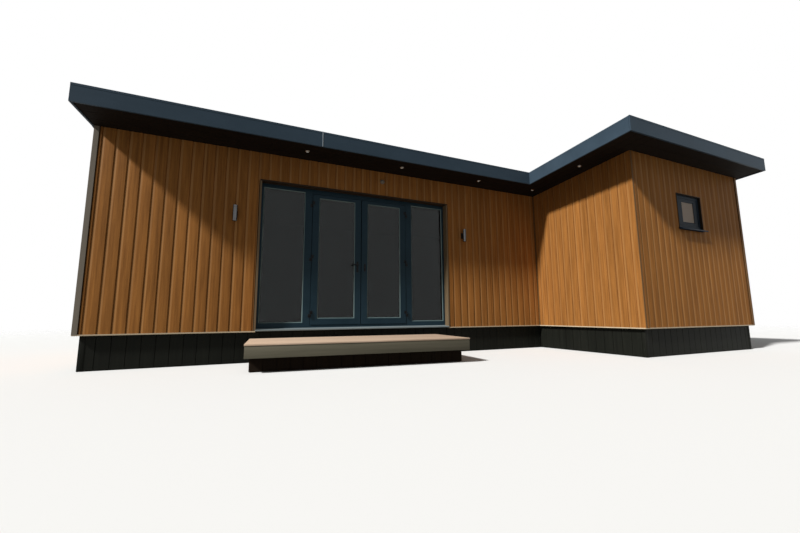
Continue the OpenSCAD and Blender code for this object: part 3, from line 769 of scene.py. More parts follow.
# %% Reveal trims and head drip
reveal, head = bmesh.new(), bmesh.new()
FRAME_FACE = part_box("door_frame")[0].y
REVEAL_WIDE, HEAD_TRIM = 0.024, 0.016
for x, s in ((DOOR_LEFT, -1), (DOOR_RIGHT, 1)):
    outline = ((-0.003, FRAME_FACE), (-0.003, FRONT - 0.004), (REVEAL_WIDE, FRONT - 0.004),
               (REVEAL_WIDE, FRONT - HAIR), (-0.0005, FRONT - HAIR), (-0.0005, FRAME_FACE))
    prism(reveal, [(x + s * a, y, FOOT) for a, y in outline], (0, 0, DOOR_HEAD - FOOT - 0.002))
ease(reveal, 0.0008)
finish("doorway_reveal_trims", reveal, [REVEAL])
outline = ((-0.006, HEAD_TRIM), (-0.006, -0.004), (-0.002, -0.004), (-0.002, 0.003), (0, 0.003),
           (0, HEAD_TRIM))
prism(head, [(DOOR_LEFT - REVEAL_WIDE, FRONT + out, DOOR_HEAD + up) for out, up in outline],
      (DOOR_RIGHT - DOOR_LEFT + 2 * REVEAL_WIDE, 0, 0))
block(head, (DOOR_LEFT + 0.004, FRONT - 0.002, DOOR_HEAD - 0.002),
      (DOOR_RIGHT - 0.004, FRAME_FACE, DOOR_HEAD))
finish("doorway_head_drip", head, [BRONZE_SHADE])

# %% [markdown]
# ## Plinth
# The skirt under the walls is set back and nearly black: upright boards on a frame, with a square post at
# each outer corner. The boards stand a few millimetres apart, so the same field of blocks is repeated along
# every side, and a plain core closes it from behind. The core is near black, as painted shade in the gaps.

# %% Plinth boards, posts and core
PLINTH_BOARD, PLINTH_GAP, PLINTH_END, POST = 0.146, 0.005, 0.004, 0.055


def plinth_run(side):
    """Where the set-back line starts and ends on a side: an outer corner shortens it, the inner one adds."""
    start = PLINTH_IN * (-1 if side == "wing_left" else 1)
    stop = length(side) + PLINTH_IN * (1 if side == "main_front" else -1)
    return start, stop


skirt, posts, core = board_mesh(), board_mesh(), bmesh.new()
for side in SIDES:
    x0, x1 = plinth_run(side)
    boards, part = board_mesh(), bmesh.new()
    x, number = x0 + PLINTH_END, 0
    while x < x1 - PLINTH_END:
        wide = min(PLINTH_BOARD, x1 - PLINTH_END - x)
        board = block(boards, (x, PLINTH_IN, 0.006), (x + wide, PLINTH_IN + 0.02, FOOT_TRIM_LOW))
        number_board(boards, board, f"{side} plinth {number}")
        x, number = x + PLINTH_BOARD + PLINTH_GAP, number + 1
    ease(boards, 0.002)
    block(part, (x0 + 0.012, PLINTH_IN + 0.012, 0), (x1 - 0.012, WALL, FOOT - HAIR))
    made = [(boards, skirt), (part, core)]
    if side != "main_front":
        post = board_mesh()
        number_board(post, block(post, (x1 - POST + 0.004, PLINTH_IN - 0.004, 0),
                                 (x1 + 0.004, PLINTH_IN + POST, FOOT_TRIM_LOW - 0.001)))
        ease(post, 0.003, 2)
        made.append((post, posts))
    for piece, whole in made:
        put(piece, side_matrix(side))
        absorb(whole, piece)
finish("plinth_boards", skirt, [PLINTH], ["plinth"])
finish("plinth_core", core, [SHADE_LAYER])
finish("plinth_corner_posts", posts, [PLINTH])

# %% [markdown]
# ## Roof covering
# The flat roof is a single-ply membrane. It is laid in sheets about a metre wide that are welded with a
# narrow lap, and it turns up against the kerb all round. The slab starts from its ground plan, whose left
# end splays out to the front corner. It is drawn level, the laps and the fillet are added, and everything
# is sheared onto the slope.

# %% Membrane, laps and fillet
EAVES_X0, EAVES_X2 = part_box("roof_main")[0].x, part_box("roof_wing")[1].x
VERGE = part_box("fascia_left")[1].x
EAVES_X1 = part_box("roof_main")[1].x
EAVES_Y0, EAVES_Y1, EAVES_Y2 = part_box("roof_wing")[0].y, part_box("roof_main")[0].y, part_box("roof_main")[1].y
SLAB_LOW, SLAB_TOP, KERB_TOP = 0.010, 0.196, 0.212
SHEET_WIDE, LAP_WIDE, FILLET_WIDE = 1.05, 0.06, 0.05


def fillet(bm, start, stop):
    """A sloping strip up to the kerb, on the left of the way from start to stop."""
    way = Vector((*stop, 0)) - Vector((*start, 0))
    inward = Vector((-way.y, way.x, 0)).normalized() * FILLET_WIDE
    a = Vector((*start, SLAB_TOP - 0.001))
    prism(bm, [a, a + inward, a + Vector((0, 0, KERB_TOP - SLAB_TOP))], way)


def membrane(name, plan, shared, node):
    """The plan runs anticlockwise. Its edge number `shared` meets the other roof and has no kerb."""
    sheet = bmesh.new()
    prism(sheet, [(x, y, SLAB_LOW) for x, y in plan], (0, 0, SLAB_TOP - SLAB_LOW))
    x0, x1 = min(x for x, y in plan), max(x for x, y in plan)
    y0, y1 = min(y for x, y in plan), max(y for x, y in plan)
    x = x0 + SHEET_WIDE
    while x < x1 - 0.1:
        block(sheet, (x - LAP_WIDE / 2, y0 + 0.04, SLAB_TOP - 0.002),
              (x + LAP_WIDE / 2, y1 - 0.04, SLAB_TOP + 0.0025))
        x += SHEET_WIDE
    ease(sheet, 0.0015)
    for i, start in enumerate(plan):
        if i != shared:
            fillet(sheet, start, plan[(i + 1) % len(plan)])
    put(sheet, ON_SLOPE)
    # The slab's downward faces take the near-black layer, which is painted shade under the roof.
    finish(name, sheet, [MEMBRANE, SHADE_LAYER], [node],
           paint=lambda f: 1 if f.normal.z < -0.5 else 0)


membrane("roof_membrane_main", [
    (EAVES_X0, EAVES_Y1), (EAVES_X1, EAVES_Y1), (EAVES_X1, EAVES_Y2), (VERGE, EAVES_Y2), (VERGE, FRONT)],
    1, "roof_main")
membrane("roof_membrane_wing", [
    (EAVES_X1, EAVES_Y0), (EAVES_X2, EAVES_Y0), (EAVES_X2, EAVES_Y2), (EAVES_X1, EAVES_Y2),
    (EAVES_X1, EAVES_Y1)], 3, "roof_wing")

# %% [markdown]
# ## Fascias
# The fascia is pressed metal: a tall smooth face, a rim that laps over the top edge, and a small return
# underneath. One section does for all of them. It is drawn upright and carried along the edge, either level
# or on the slope. The left one takes two runs: a splayed return from the front corner to the wall, then the
# nearly flush verge. A slim silver strip covers the joint over the door set.

# %% Fascia panels
def fascia_section(low, high, deep):
    """Depth runs inwards from the face; the rim stands 1.5 mm before it."""
    rim = high - RIM_TALL
    return [(0.0015, low), (0.0015, rim), (0.0, rim), (0.0, high - 0.002), (0.002, high), (deep, high),
            (deep, high - 0.012), (deep - 0.004, high - 0.014), (deep - 0.004, low + 0.02),
            (deep, low + 0.018), (deep, low)]


RIM_TALL = 0.030
FASCIA_UP = FASCIA_FRONT[1].z - FASCIA_FRONT[0].z - FASCIA_DRIP
FASCIA_DEEP = FASCIA_FRONT[1].y - FASCIA_FRONT[0].y


def fascia(node, out):
    low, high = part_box(node)
    panel = bmesh.new()
    if abs(out[1]):
        face = low.y if out[1] < 0 else high.y
        section = [(low.x, face - out[1] * d, z) for d, z in fascia_section(low.z, high.z, FASCIA_DEEP)]
        prism(panel, section, (high.x - low.x, 0, 0))
    else:
        face = low.x if out[0] < 0 else high.x
        tall = fascia_section(-FASCIA_DRIP, FASCIA_UP, FASCIA_DEEP)
        runs = [(0, high.y - low.y, 0)]
        if node == "fascia_left":
            runs = [(VERGE - EAVES_X0, FRONT - low.y, 0), (0, high.y - FRONT, 0)]
        prism(panel, [(face - out[0] * d, low.y, z) for d, z in tall], *runs)
        put(panel, ON_SLOPE)

    # The rim's upward faces take the paler slate, which is a painted highlight along the top edge.
    def rim(f):
        middle = f.calc_center_median()
        top = high.z if abs(out[1]) else soffit_height(middle.y) + FASCIA_UP
        return 1 if middle.z > top - RIM_TALL and f.normal.z > 0.2 else 0

    name = node.replace("fascia_", "fascia_panel_")
    finish(name, panel, [FASCIA, FASCIA_TOP_HIGHLIGHT], [node], paint=rim)


for end, out in (
    ("front_left", (0, -1)), ("front_right", (0, -1)), ("back", (0, 1)), ("wing_front", (0, -1)),
    ("left", (-1, 0)), ("right", (1, 0)), ("wing_left", (-1, 0)),
):
    fascia(f"fascia_{end}", out)

JOINT = FASCIA_FRONT[1]
strip = bmesh.new()
block(strip, (JOINT.x - 0.006, FASCIA_FRONT[0].y - 0.0015, FASCIA_FRONT[0].z + 0.002),
      (JOINT.x + 0.006, FASCIA_FRONT[0].y + 0.004, JOINT.z + 0.001))
ease(strip, 0.0008)
finish("fascia_joint_strip", strip, [SILVER])

# %% [markdown]
# ## Soffit
# The underside of the eaves is boarded. The boards run along the edge with a narrow gap between them. A
# strip of them is easy to draw level, so it is drawn that way and then sheared like the roof.

# %% Soffit boards
def soffit_strip(x0, x1, y0, y1, along, count, label):
    """A strip of boards that run along x or y, in count rows."""
    strip = board_mesh()
    row = ((y1 - y0) if along == "x" else (x1 - x0)) / count
    for i in range(count):
        a, b = i * row + SOFFIT_GAP / 2, (i + 1) * row - SOFFIT_GAP / 2
        low = (x0, y0 + a, 0) if along == "x" else (x0 + a, y0, 0)
        high = (x1, y0 + b, SOFFIT_THICK) if along == "x" else (x0 + b, y1, SOFFIT_THICK)
        number_board(strip, block(strip, low, high), f"soffit {label} {i}")
    return strip


def soffit(name, strips, node, splay=None):
    """`splay` is a point and a direction: the first strip's end is sawn off there, seen from above."""
    boards = board_mesh()
    for i, size in enumerate(strips):
        strip = soffit_strip(*size, f"{name} {i}")
        if splay and i == 0:
            cut(strip, *splay)
        absorb(boards, strip)
    ease(boards, 0.0025)
    put(boards, ON_SLOPE)
    finish(name, boards, [SOFFIT], [node])


SOFFIT_THICK, SOFFIT_GAP = 0.0098, 0.003
soffit("soffit_boards_main", [
    (EAVES_X0, EAVES_X1, EAVES_Y1, FRONT, "x", 3), (VERGE, LEFT, FRONT, BACK, "y", 1),
    (VERGE, EAVES_X1, BACK, EAVES_Y2, "x", 1)], "soffit_main",
    ((EAVES_X0, EAVES_Y1, 0), (EAVES_Y1 - FRONT, VERGE - EAVES_X0, 0)))
soffit("soffit_boards_wing", [
    (EAVES_X1, INNER, EAVES_Y0, FRONT, "y", 3), (INNER, EAVES_X2, EAVES_Y0, WING_FRONT, "x", 2),
    (RIGHT, EAVES_X2, WING_FRONT, BACK, "y", 1), (EAVES_X1, EAVES_X2, BACK, EAVES_Y2, "x", 1)],
    "soffit_wing")

# %% [markdown]
# ## Downlights
# Small round lights are set into the soffit. A cylinder would do for each, but the real ring has a rolled
# lip, so its section is drawn and spun about an upright axis, with a frosted lens set into it.

# %% Downlights
DOWN_R, CORNER_STEP = 0.034, 1.25
LIGHTS_LOW, LIGHTS_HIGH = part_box("soffit_lights")
DOWN_X, DOWN_Y = LIGHTS_HIGH.x - DOWN_R, LIGHTS_HIGH.y - DOWN_R
DOWN_STEP = (DOWN_X - CORNER_STEP - LIGHTS_LOW.x - DOWN_R) / 2
spots = [(DOWN_X, DOWN_Y), (DOWN_X, LIGHTS_LOW.y + DOWN_R)]
spots += [(DOWN_X - CORNER_STEP - i * DOWN_STEP, DOWN_Y) for i in range(3)]


def downlight_ring(bm, x, y, r=DOWN_R):
    section = ((r, -0.0005), (r, -0.003), (r - 0.003, -0.005), (r - 0.009, -0.0045), (r - 0.012, -0.001),
               (r - 0.012, 0.004), (r, 0.004))
    turned(bm, (x, y, soffit_height(y)), section, 36)


rings, lenses = bmesh.new(), bmesh.new()
for x, y in spots:
    downlight_ring(rings, x, y)
    barrel(lenses, (x, y, soffit_height(y) + 0.001), DOWN_R - 0.0115, 0.005, sides=36, rim=0.001)
finish("downlight_rings", rings, [LIGHT_RING], ["soffit_lights"])
finish("downlight_lenses", lenses, [LENS])
print("downlights:", len(spots))

# %% [markdown]
# ## Floor indoors
# The floor shows at the sill and through the doors. It is laid with long oak planks over a flat deck. The
# planks are staggered by row and cut where they meet the walls.

# %% Floor planks
PLANK = 0.014


def plank_floor(name, node, row_wide=0.19, plank_long=1.9):
    low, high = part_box(node)
    planks, deck = board_mesh(), bmesh.new()
    rows = max(1, round((high.y - low.y) / row_wide))
    step = (high.y - low.y) / rows
    for r in range(rows):
        x = low.x - (0.63 * r) % plank_long
        while x < high.x:
            a, b = max(x, low.x), min(x + plank_long, high.x)
            if b - a > 0.01:
                plank = block(planks, (a, low.y + r * step, high.z - PLANK),
                              (b, low.y + (r + 1) * step, high.z))
                number_board(planks, plank, f"{node} {r} {x:.2f}")
            x += plank_long
    ease(planks, 0.0012)
    finish(name, planks, [FLOORING], [node])
    block(deck, low, (high.x, high.y, high.z - PLANK - 0.0002))
    ease(deck, 0.002)
    finish(f"{name}_deck", deck, [SLAB])


plank_floor("floor_planks_main", "floor_main")
plank_floor("floor_planks_wing", "floor_wing")

# %% [markdown]
# ## Door sill
# The sill is one length of extruded aluminium that falls a little to its nose. It has the same section
# from end to end, so `prism` pushes a drawn outline along it.

# %% Sill
low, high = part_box("door_sill")
sill = bmesh.new()
prism(sill, [(low.x, y, z) for y, z in (
    (low.y, low.z + 0.004), (low.y, high.z - 0.017), (low.y + 0.003, high.z - 0.014),
    (FRAME_FACE - 0.012, high.z - 0.0045), (FRAME_FACE - 0.008, high.z - 0.0002), (high.y, high.z - 0.0002),
    (high.y, low.z), (low.y + 0.012, low.z), (low.y + 0.012, low.z + 0.004))], (high.x - low.x, 0, 0))
ease(sill, 0.0008, least=math.radians(50))
finish("door_sill_profile", sill, [SILL], ["door_sill"])

# %% [markdown]
# ## Door frame
# The frame is powder-coated aluminium: a side light on either hand with a pair of doors between. A window
# maker mitres one profile round each opening, and `frame_loop` does the same: four copies of the section
# stand on the corners and are bridged into a closed ring. The inner edge of the profile slopes to the
# glass. That bead is of a paler metal and catches the light, and it is found again by its slope and width.

# %% Frame round the side lights, head, threshold and stops
low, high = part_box("door_frame")
GLASS_LOW, GLASS_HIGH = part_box("side_glass")
LEAF_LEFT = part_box("left_door")
MULLION, LEAF_GAP = 0.120, 0.006
SIDE_WIDE = LEAF_LEFT[0].x - LEAF_GAP - MULLION - GLASS_LOW.x
FRAME_DEEP = high.y - low.y
BAY_LEFT = (GLASS_LOW.x, GLASS_LOW.x + SIDE_WIDE)
BAY_RIGHT = (GLASS_HIGH.x - SIDE_WIDE, GLASS_HIGH.x)


def member_section(deep, glass_in, glass_thick):
    """From the outer arris, over the face, down the bead to the rebate and back along the inside."""
    a, b = glass_in, glass_in + glass_thick
    return ((1, 0, 0.0012), (1, -0.0012, 0), (0, 0.0135, 0), (0, 0.0125, 0.001), (0, 0.001, a - 0.001),
            (0, 0, a), (0, 0.006, a), (0, 0.006, b), (0, 0, b), (0, 0.001, b + 0.001),
            (0, 0.0125, deep - 0.001), (0, 0.0135, deep), (1, -0.0012, deep), (1, 0, deep - 0.0012))


def is_bead(f):
    """The sloping face beside the glass: turned half outwards, and wider than an arris."""
    longest = max(e.calc_length() for e in f.edges)
    return 1 if -0.9 < f.normal.y < -0.4 and f.calc_area() / longest > 0.006 else 0


set_in, thick = GLASS_LOW.y - low.y, GLASS_HIGH.y - GLASS_LOW.y
jamb, rail, top = GLASS_LOW.x - low.x, GLASS_LOW.z - low.z, high.z - GLASS_HIGH.z
casing, extra = bmesh.new(), bmesh.new()
section = member_section(FRAME_DEEP, set_in, thick)
for bay, wide in ((BAY_LEFT, (jamb, MULLION, rail, top)), (BAY_RIGHT, (MULLION, jamb, rail, top))):
    frame_loop(casing, *bay, GLASS_LOW.z, GLASS_HIGH.z, low.y, section, wide)
pass_left, pass_right = BAY_LEFT[1] + MULLION, BAY_RIGHT[0] - MULLION
threshold, STOP_Y, LAP = LEAF_LEFT[0].z - LEAF_GAP, high.y - 0.018, 0.020
for y, x0, x1, z0, z1 in (
    (low.y, pass_left, pass_right, GLASS_HIGH.z, high.z),
    (low.y, pass_left, pass_right, low.z, threshold),
    (STOP_Y, pass_left - 0.001, pass_left + LAP, threshold, GLASS_HIGH.z),
    (STOP_Y, pass_right - LAP, pass_right + 0.001, threshold, GLASS_HIGH.z),
    (STOP_Y, pass_left + LAP, pass_right - LAP, GLASS_HIGH.z - LAP, GLASS_HIGH.z),
    (STOP_Y, pass_left + LAP, pass_right - LAP, threshold, threshold + LAP),
):
    block(extra, (x0, y, z0), (x1, high.y, z1))
ease(extra, 0.001)
absorb(casing, extra)
finish("door_casing", casing, [FRAME, BEAD], ["door_frame"], paint=is_bead)

# %% [markdown]
# ## Doors
# Each leaf is the same mitred profile with wider stiles. It fills exactly the space of its solid, so it
# swings clear wherever the solid does. A black gasket lies against the glass on both faces, and the sealed
# unit is two panes kept apart by a spacer bar.

# %% Leaves, gaskets and sealed units
NO_WIDTH, PANE, PANE_LAP, BAR = (0, 0, 0, 0), 0.004, 0.004, 0.0042


def gasket_loops(bm, x0, x1, z0, z1, y0, y1):
    """Rubber line round an opening, on the outer face (y0) and the inner face (y1) of the glass."""
    for y, s in ((y0, -1), (y1, 1)):
        ring = ((0, -0.0035, 0), (0, -0.0030, s * 0.0015), (0, 0.0005, s * 0.0022), (0, 0.0005, 0))
        frame_loop(bm, x0, x1, z0, z1, y, ring, NO_WIDTH)


def sealed_unit(name, openings, y0, y1, body, node):
    panes, spacer, rubber = bmesh.new(), bmesh.new(), bmesh.new()
    far = y1 - y0 - BAR
    for opening in openings:
        x0, x1, z0, z1 = opening
        for a, b in ((y0, y0 + PANE), (y1 - PANE, y1)):
            block(panes, (x0 - PANE_LAP, a + 0.0002, z0 - PANE_LAP),
                  (x1 + PANE_LAP, b - 0.0002, z1 + PANE_LAP))
        bar = ((0, 0.003, BAR), (0, -0.0055, BAR), (0, -0.0055, far), (0, 0.003, far))
        frame_loop(spacer, *opening, y0, bar, NO_WIDTH)
        gasket_loops(rubber, *opening, y0, y1)
    finish(f"{name}_panes", panes, [GLASS, INNER_GLASS], [node], body,
           paint=lambda f: 1 if f.calc_center_median().y > (y0 + y1) / 2 else 0)
    finish(f"{name}_spacer", spacer, [GASKET], body=body)
    finish(f"{name}_gaskets", rubber, [GASKET], body=body)


sealed_unit("side_lights", [(*bay, GLASS_LOW.z, GLASS_HIGH.z) for bay in (BAY_LEFT, BAY_RIGHT)],
            GLASS_LOW.y, GLASS_HIGH.y, "building", "side_glass")
for hand in ("left", "right"):
    (lx, ly, lz), (hx, hy, hz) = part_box(f"{hand}_door")
    (gx0, gy0, gz0), (gx1, gy1, gz1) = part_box(f"{hand}_door_glass")
    leaf, opening, body = bmesh.new(), (gx0, gx1, gz0, gz1), f"{hand}_leaf"
    frame_loop(leaf, *opening, ly, member_section(hy - ly, gy0 - ly, gy1 - gy0),
               (gx0 - lx, hx - gx1, gz0 - lz, hz - gz1))
    finish(f"{hand}_leaf_frame", leaf, [FRAME, BEAD], [f"{hand}_door"], body, paint=is_bead)
    sealed_unit(f"{hand}_leaf", [opening], gy0, gy1, body, f"{hand}_door_glass")

# %% [markdown]
# ## Handles and hinges
# The left leaf's lever is a bar with a rounded end on a slim plate, outside and inside. The right leaf has a
# thumb turn on a small plate. Small rounded metal parts look right only if their edges are eased in two
# steps, because a sharp edge never shows a highlight. The hinges are barrels with a cap line where leaf
# half and frame half meet.

# %% Lever handle, thumb turn and hinges
def lever(bm, low, high, leaf_face, s):
    """One side of the lever set, outside (s = -1) or inside (s = 1)."""
    plate_x, mid_z, outer = high.x - 0.016, (low.z + high.z) / 2, leaf_face + s * 0.046
    plate = block(bm, (plate_x - 0.016, leaf_face, low.z), (plate_x + 0.016, leaf_face + s * 0.008, high.z))
    rounded(bm, plate, 0.003, 3)
    hub_z = mid_z + 0.030
    for out, z, radius, tall, sides, rim in (
        (0.0225, hub_z, 0.009, 0.045, 28, 0.0015), (0.0095, hub_z, 0.0125, 0.003, 28, 0.001),
        (0.0085, mid_z - 0.045, 0.0085, 0.002, 24, 0.0006),
    ):
        barrel(bm, (plate_x, leaf_face + s * out, z), radius, tall, "Y", sides, rim)
    bar = block(bm, (plate_x - 0.108, outer, hub_z - 0.010),
                (plate_x + 0.009, outer - s * 0.014, hub_z + 0.010))
    rounded(bm, bar, 0.0045, 4)


handle, thumb = bmesh.new(), bmesh.new()
for leaf_face, s in ((LEAF_LEFT[0].y, -1), (LEAF_LEFT[1].y, 1)):
    lever(handle, *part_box("left_door_handle"), leaf_face, s)
finish("left_leaf_lever", handle, [DARK_METAL], ["left_door_handle"], "left_leaf", smooth=50)

low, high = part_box("right_door_handle")
x, z = (low.x + high.x) / 2, (low.z + high.z) / 2
rounded(thumb, block(thumb, (low.x, high.y - 0.007, low.z), high), 0.0022, 3)
barrel(thumb, (x, high.y - 0.009, z), 0.0088, 0.006, "Y", 28, 0.0012)
rounded(thumb, block(thumb, (x - 0.003, low.y, z - 0.0085), (x + 0.003, high.y - 0.007, z + 0.0085)), 0.0012)
finish("right_leaf_thumb_turn", thumb, [DARK_METAL], ["right_door_handle"], "right_leaf", smooth=50)

KNUCKLE_R, KNUCKLE, HINGE_END = 0.009, 0.050, 0.160


def hinge_half(bm, pin, foots, x0, y0, x1, y1, eased):
    """Barrels that stand on the foots, round the pin, each with a tab between two corners on plan."""
    for z in foots:
        barrel(bm, (*pin, z + KNUCKLE / 2), KNUCKLE_R, KNUCKLE - 0.0006, sides=28, rim=0.0012)
        rounded(bm, block(bm, (x0, y0, z + HAIR), (x1, y1, z + KNUCKLE - HAIR)), eased)


leaf_low, leaf_high = LEAF_LEFT[0].z, LEAF_LEFT[1].z
HINGE_FOOTS = [leaf_low + HINGE_END, (leaf_low + leaf_high) / 2, leaf_high - HINGE_END]
fixed, ends = bmesh.new(), [corner.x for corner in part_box("frame_hinges")]
for hand, s, outer in (("left", 1, ends[0]), ("right", -1, ends[1])):
    low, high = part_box(f"{hand}_door_hinges")
    near, far = (low.x, high.x)[::s]
    pin = (near + s * KNUCKLE_R, low.y + KNUCKLE_R)
    knuckles = bmesh.new()
    hinge_half(knuckles, pin, HINGE_FOOTS, pin[0], high.y - 0.004, far, high.y, 0.0012)
    hinge_half(fixed, pin, [z - KNUCKLE for z in HINGE_FOOTS],
               outer, pin[1] + 0.0045, outer + s * 0.030, FRAME_FACE, 0.0015)
    finish(f"{hand}_leaf_hinge_knuckles", knuckles, [DARK_METAL], [f"{hand}_door_hinges"],
           f"{hand}_leaf", smooth=50)
finish("frame_hinge_knuckles", fixed, [DARK_METAL], ["frame_hinges"], smooth=50)

# %% [markdown]
# ## The wing's window
# A small window with obscured glass. The frame is drawn as two rings, an outer frame and a sash that
# stands four millimetres back from it, because that step gives the real one its double line. The sash laps
# far over the glass at its sides. The sill projects past the boards with a turned-down nose.

# %% Window frame, pane, sill and reveal
(wx0, wy0, wz0), (wx1, wy1, wz1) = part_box("window_frame")
(vx0, vy0, vz0), (vx1, vy1, vz1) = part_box("window_glass")
window, pane, seal = bmesh.new(), bmesh.new(), bmesh.new()
opening = (vx0, vx1, vz0, vz1)
wide, LAPS = (vx0 - wx0, wx1 - vx1, vz0 - wz0, wz1 - vz1), (0.075, 0.042, 0.0, 0.0)
deep, SASH = wy1 - wy0, 0.056
a, b = vy0 - wy0, vy1 - wy0
outer_ring = ((1, 0, 0.001), (1, -0.001, 0), (0, SASH + 0.002, 0), (0, SASH + 0.001, 0.001),
              (0, SASH + 0.001, deep), (1, 0, deep))
sash_ring = ((0, SASH - 0.001, 0.005), (0, SASH - 0.002, 0.004), (-1, 0.009, 0.004), (-1, 0, a - 0.001),
             (-1, 0, a), (0, 0.005, a), (0, 0.005, b), (0, 0, b), (0, 0.010, deep), (0, SASH - 0.001, deep))
frame_loop(window, *opening, wy0, outer_ring, wide)
frame_loop(window, *opening, wy0, sash_ring, LAPS)
# The window frame takes the darker copy of the anthracite, which is painted shade.
finish("wing_window_frame", window, [WINDOW_FRAME_SHADED], ["window_frame"])

for y0, y1 in ((vy0, vy0 + 0.006), (vy1 - 0.004, vy1)):
    block(pane, (vx0 - PANE_LAP, y0, vz0 - PANE_LAP), (vx1 + PANE_LAP, y1, vz1 + PANE_LAP))
finish("wing_window_pane", pane, [OBSCURED], ["window_glass"])
gasket_loops(seal, *opening, vy0, vy1)
finish("wing_window_gasket", seal, [GASKET])

(sx0, sy0, sz0), (sx1, sy1, sz1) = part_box("window_sill")
ledge, lining = bmesh.new(), bmesh.new()
nose = [(sy0, sz0), (sy0, sz1 - 0.012), (sy0 + 0.003, sz1 - 0.009), (WING_FRONT, sz1 - 0.002),
        (WING_FRONT, sz0 + 0.012), (sy0 + 0.010, sz0 + 0.008), (sy0 + 0.010, sz0)]
prism(ledge, [(sx0, y, z) for y, z in nose], (sx1 - sx0, 0, 0))
ease(ledge, 0.0008)
block(ledge, (wx0 + HAIR, WING_FRONT, sz0 + 0.004), (wx1 - HAIR, sy1, sz1 - HAIR))
# The sill takes the same darker copy, as painted shade.
finish("wing_window_sill", ledge, [WINDOW_FRAME_SHADED], ["window_sill"])

# The reveal linings and the thin surround are near black, which is painted shade round the window.
SURROUND = 0.010
for x, s in ((wx0, 1), (wx1, -1)):
    block(lining, (x, WING_FRONT - 0.002, sz1 - 0.001), (x + s * 0.002, wy0 + 0.001, wz1))
    block(lining, (x, WING_FRONT - 0.005, sz1), (x - s * SURROUND, WING_FRONT, wz1 + SURROUND))
block(lining, (wx0, WING_FRONT - 0.005, wz1), (wx1, WING_FRONT, wz1 + SURROUND))
block(lining, (wx0, WING_FRONT - 0.003, wz1 - 0.002), (wx1, wy0 + 0.001, wz1))
ease(lining, 0.0006)
finish("wing_window_reveal", lining, [BRONZE_SHADE])

# %% [markdown]
# ## Wall lights
# An up-and-down light is a steel tube with a lens in each end, held off the wall by a short arm and a
# plate. The tube's wall shows at its ends, so its section is spun about the axis instead of starting from a
# closed cylinder.

# %% Wall lights
TUBE, LIP_IN, GROOVE_IN = 0.030, 0.003, 0.0012
half_tube = ((TUBE - 0.006, 0.014), (TUBE - LIP_IN, 0.012), (TUBE - LIP_IN, 0), (TUBE - 0.001, 0),
             (TUBE, 0.001), (TUBE, 0.026), (TUBE - GROOVE_IN, 0.027), (TUBE - GROOVE_IN, 0.029),
             (TUBE, 0.030))
for hand in ("left", "right"):
    (x0, y0, z0), (x1, y1, z1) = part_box(f"wall_light_{hand}")
    x, y, z = (x0 + x1) / 2, y0 + TUBE, (z0 + z1) / 2
    tube, base, glow = bmesh.new(), bmesh.new(), bmesh.new()
    section = [(r, z0 + h) for r, h in half_tube] + [(r, z1 - h) for r, h in half_tube[::-1]]
    turned(tube, (x, y, 0), section, 40)
    arm = block(tube, (x - 0.011, y + TUBE - 0.006, z - 0.011), (x + 0.011, y1 - 0.004, z + 0.011))
    rounded(tube, arm, 0.002)
    # The tube takes the darkened steel, a painted reflection of dark surroundings.
    finish(f"wall_light_{hand}_tube", tube, [STEEL_DARK_REFLECTION], [f"wall_light_{hand}"], smooth=40)
    rounded(base, block(base, (x0, y1 - 0.008, z - 0.050), (x1, y1 - 0.0002, z + 0.050)), 0.002)
    for dz in (-0.036, 0.036):
        barrel(base, (x, y1 - 0.0085, z + dz), 0.0035, 0.002, "Y", 16, 0.0005)
    finish(f"wall_light_{hand}_plate", base, [DARK_METAL])
    for end in (z0 + 0.011, z1 - 0.011):
        barrel(glow, (x, y, end), TUBE - 0.0065, 0.006, sides=36, rim=0.001)
    finish(f"wall_light_{hand}_lenses", glow, [LENS])

# %% [markdown]
# ## Sensor over the doors
# A thumb-sized fitting sits on the boards above the doors. It is a round base with a domed cap: half of the
# dome's outline is drawn as an arc and spun about the axis that points out of the wall.

# %% Sensor
SENSOR_X, SENSOR_Z, SENSOR_R = INNER - 3.27, 2.823, 0.034
dome = bmesh.new()
quarter = [math.pi / 2 * i / 8 for i in range(9)]
arc = [(SENSOR_R * math.cos(t), 0.010 + SENSOR_R * 0.85 * math.sin(t)) for t in quarter]
outline = [(0, 0), (SENSOR_R + 0.004, 0), (SENSOR_R + 0.004, 0.008), (SENSOR_R, 0.010)]
outline += arc[1:-1] + [(0, arc[-1][1])]
turned(dome, (SENSOR_X, FRONT - HAIR, SENSOR_Z), outline, 32, (0, -1, 0), closed=False)
finish("door_sensor", dome, [TRIM], smooth=45)

# %% [markdown]
# ## Place of the step
# The step before the doors is a low deck that seems to float. It was set down a little askew. Each piece
# could be drawn askew, but it is simpler to draw it straight, from the step's back left corner, and to turn
# it at the end. The corner is worked out from the box of the turned solid.

# %% Where the step stands
STEP_LONG, STEP_DEEP = 2.795, 1.1
deck_low, deck_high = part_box("step_deck")
band_low, base_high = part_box("step_fascia")[0].z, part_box("step_base")[1].z
AT_STEP = (Matrix.Translation((deck_low.x - math.sin(STEP_TURN) * STEP_DEEP, deck_high.y, 0))
           @ Matrix.Rotation(STEP_TURN, 4, "Z"))
print("step:", STEP_LONG, "by", STEP_DEEP, "m, turned", round(math.degrees(STEP_TURN), 1), "degrees")


def finish_step(name, bm, material, node):
    put(bm, AT_STEP)
    finish(name, bm, [material], [node])


# %% [markdown]
# ## Boards, band and base of the step
# Pale boards lie on top and run along the step, with rounded long edges. A dark band goes round the edge,
# butted at the corners, five millimetres in from the boards' lip. The base is set well back and stands in
# the shade, which is why the step seems to float.

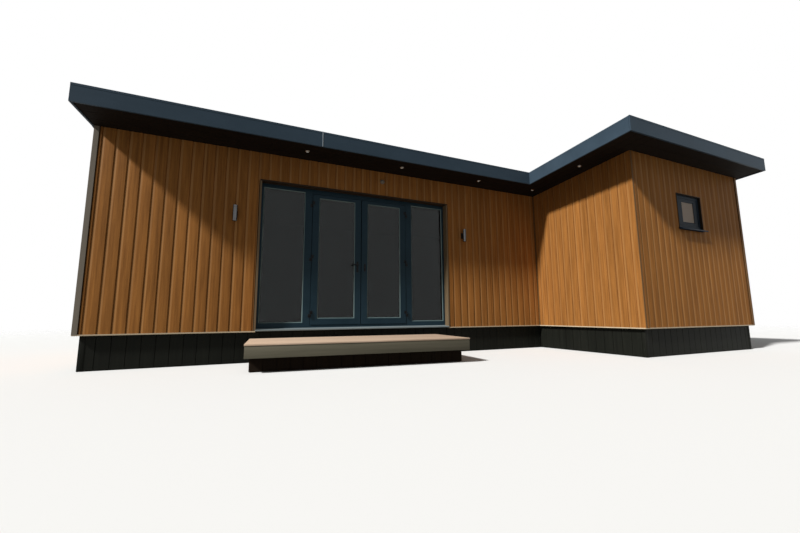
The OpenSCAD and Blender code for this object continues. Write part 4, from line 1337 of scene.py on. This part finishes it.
# %% Deck boards, band and base
deck, band, base = board_mesh(), bmesh.new(), bmesh.new()
DECK_ROWS, DECK_GAP = 8, 0.005
row = (STEP_DEEP + DECK_GAP) / DECK_ROWS
for i in range(DECK_ROWS):
    y = i * row - STEP_DEEP
    board = block(deck, (0, y, deck_low.z), (STEP_LONG, y + row - DECK_GAP, deck_high.z))
    number_board(deck, board, f"deck {i}")
ease(deck, 0.003, 2)
finish_step("step_deck_boards", deck, DECK, "step_deck")

BAND, LIP, BAND_GAP = 0.022, 0.005, 0.002
face, end, band_top = LIP - STEP_DEEP, STEP_LONG - LIP, deck_low.z - HAIR
block(band, (LIP, face, band_low), (end, face + BAND, band_top))
for x in (LIP, end - BAND):
    block(band, (x, face + BAND + BAND_GAP, band_low), (x + BAND, 0, band_top))
ease(band, 0.0025, 2)
finish_step("step_band", band, STEP_FACE, "step_fascia")

BASE_IN, BASE_SIDE, BOARD_THICK = 0.150, 0.050, 0.018
x0, x1, y0 = BASE_SIDE, STEP_LONG - BASE_SIDE, BASE_IN - STEP_DEEP
block(base, (x0 + BOARD_THICK, y0 + BOARD_THICK, 0), (x1 - BOARD_THICK, 0, base_high - HAIR))


def base_boards(start, stop, inwards, count):
    """Upright boards between two plan points, one row, which are BOARD_THICK towards the core."""
    start, stop = Vector(start), Vector(stop)
    way = (stop - start) / count
    for i in range(count):
        a = start + way * i + way.normalized() * 0.002
        b = start + way * (i + 1) - way.normalized() * 0.002 + Vector(inwards) * BOARD_THICK
        block(base, (*a, 0.004), (*b, base_high - HAIR))


base_boards((x0, y0), (x1, y0), (0, 1), 18)
base_boards((x0, y0 + 0.02), (x0, 0), (1, 0), 6)
base_boards((x1, y0 + 0.02), (x1, 0), (-1, 0), 6)
ease(base, 0.002)
finish_step("step_base_boards", base, STEP_BASE, "step_base")

# %% [markdown]
# ## Size and close
# The box of the dressed pieces is worked out, leaving out the floor, and the last line prints how many pieces
# and faces were made.

# %% Size and finish
low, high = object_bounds()
print("pieces:", len(MADE), "faces:", sum(MADE.values()))
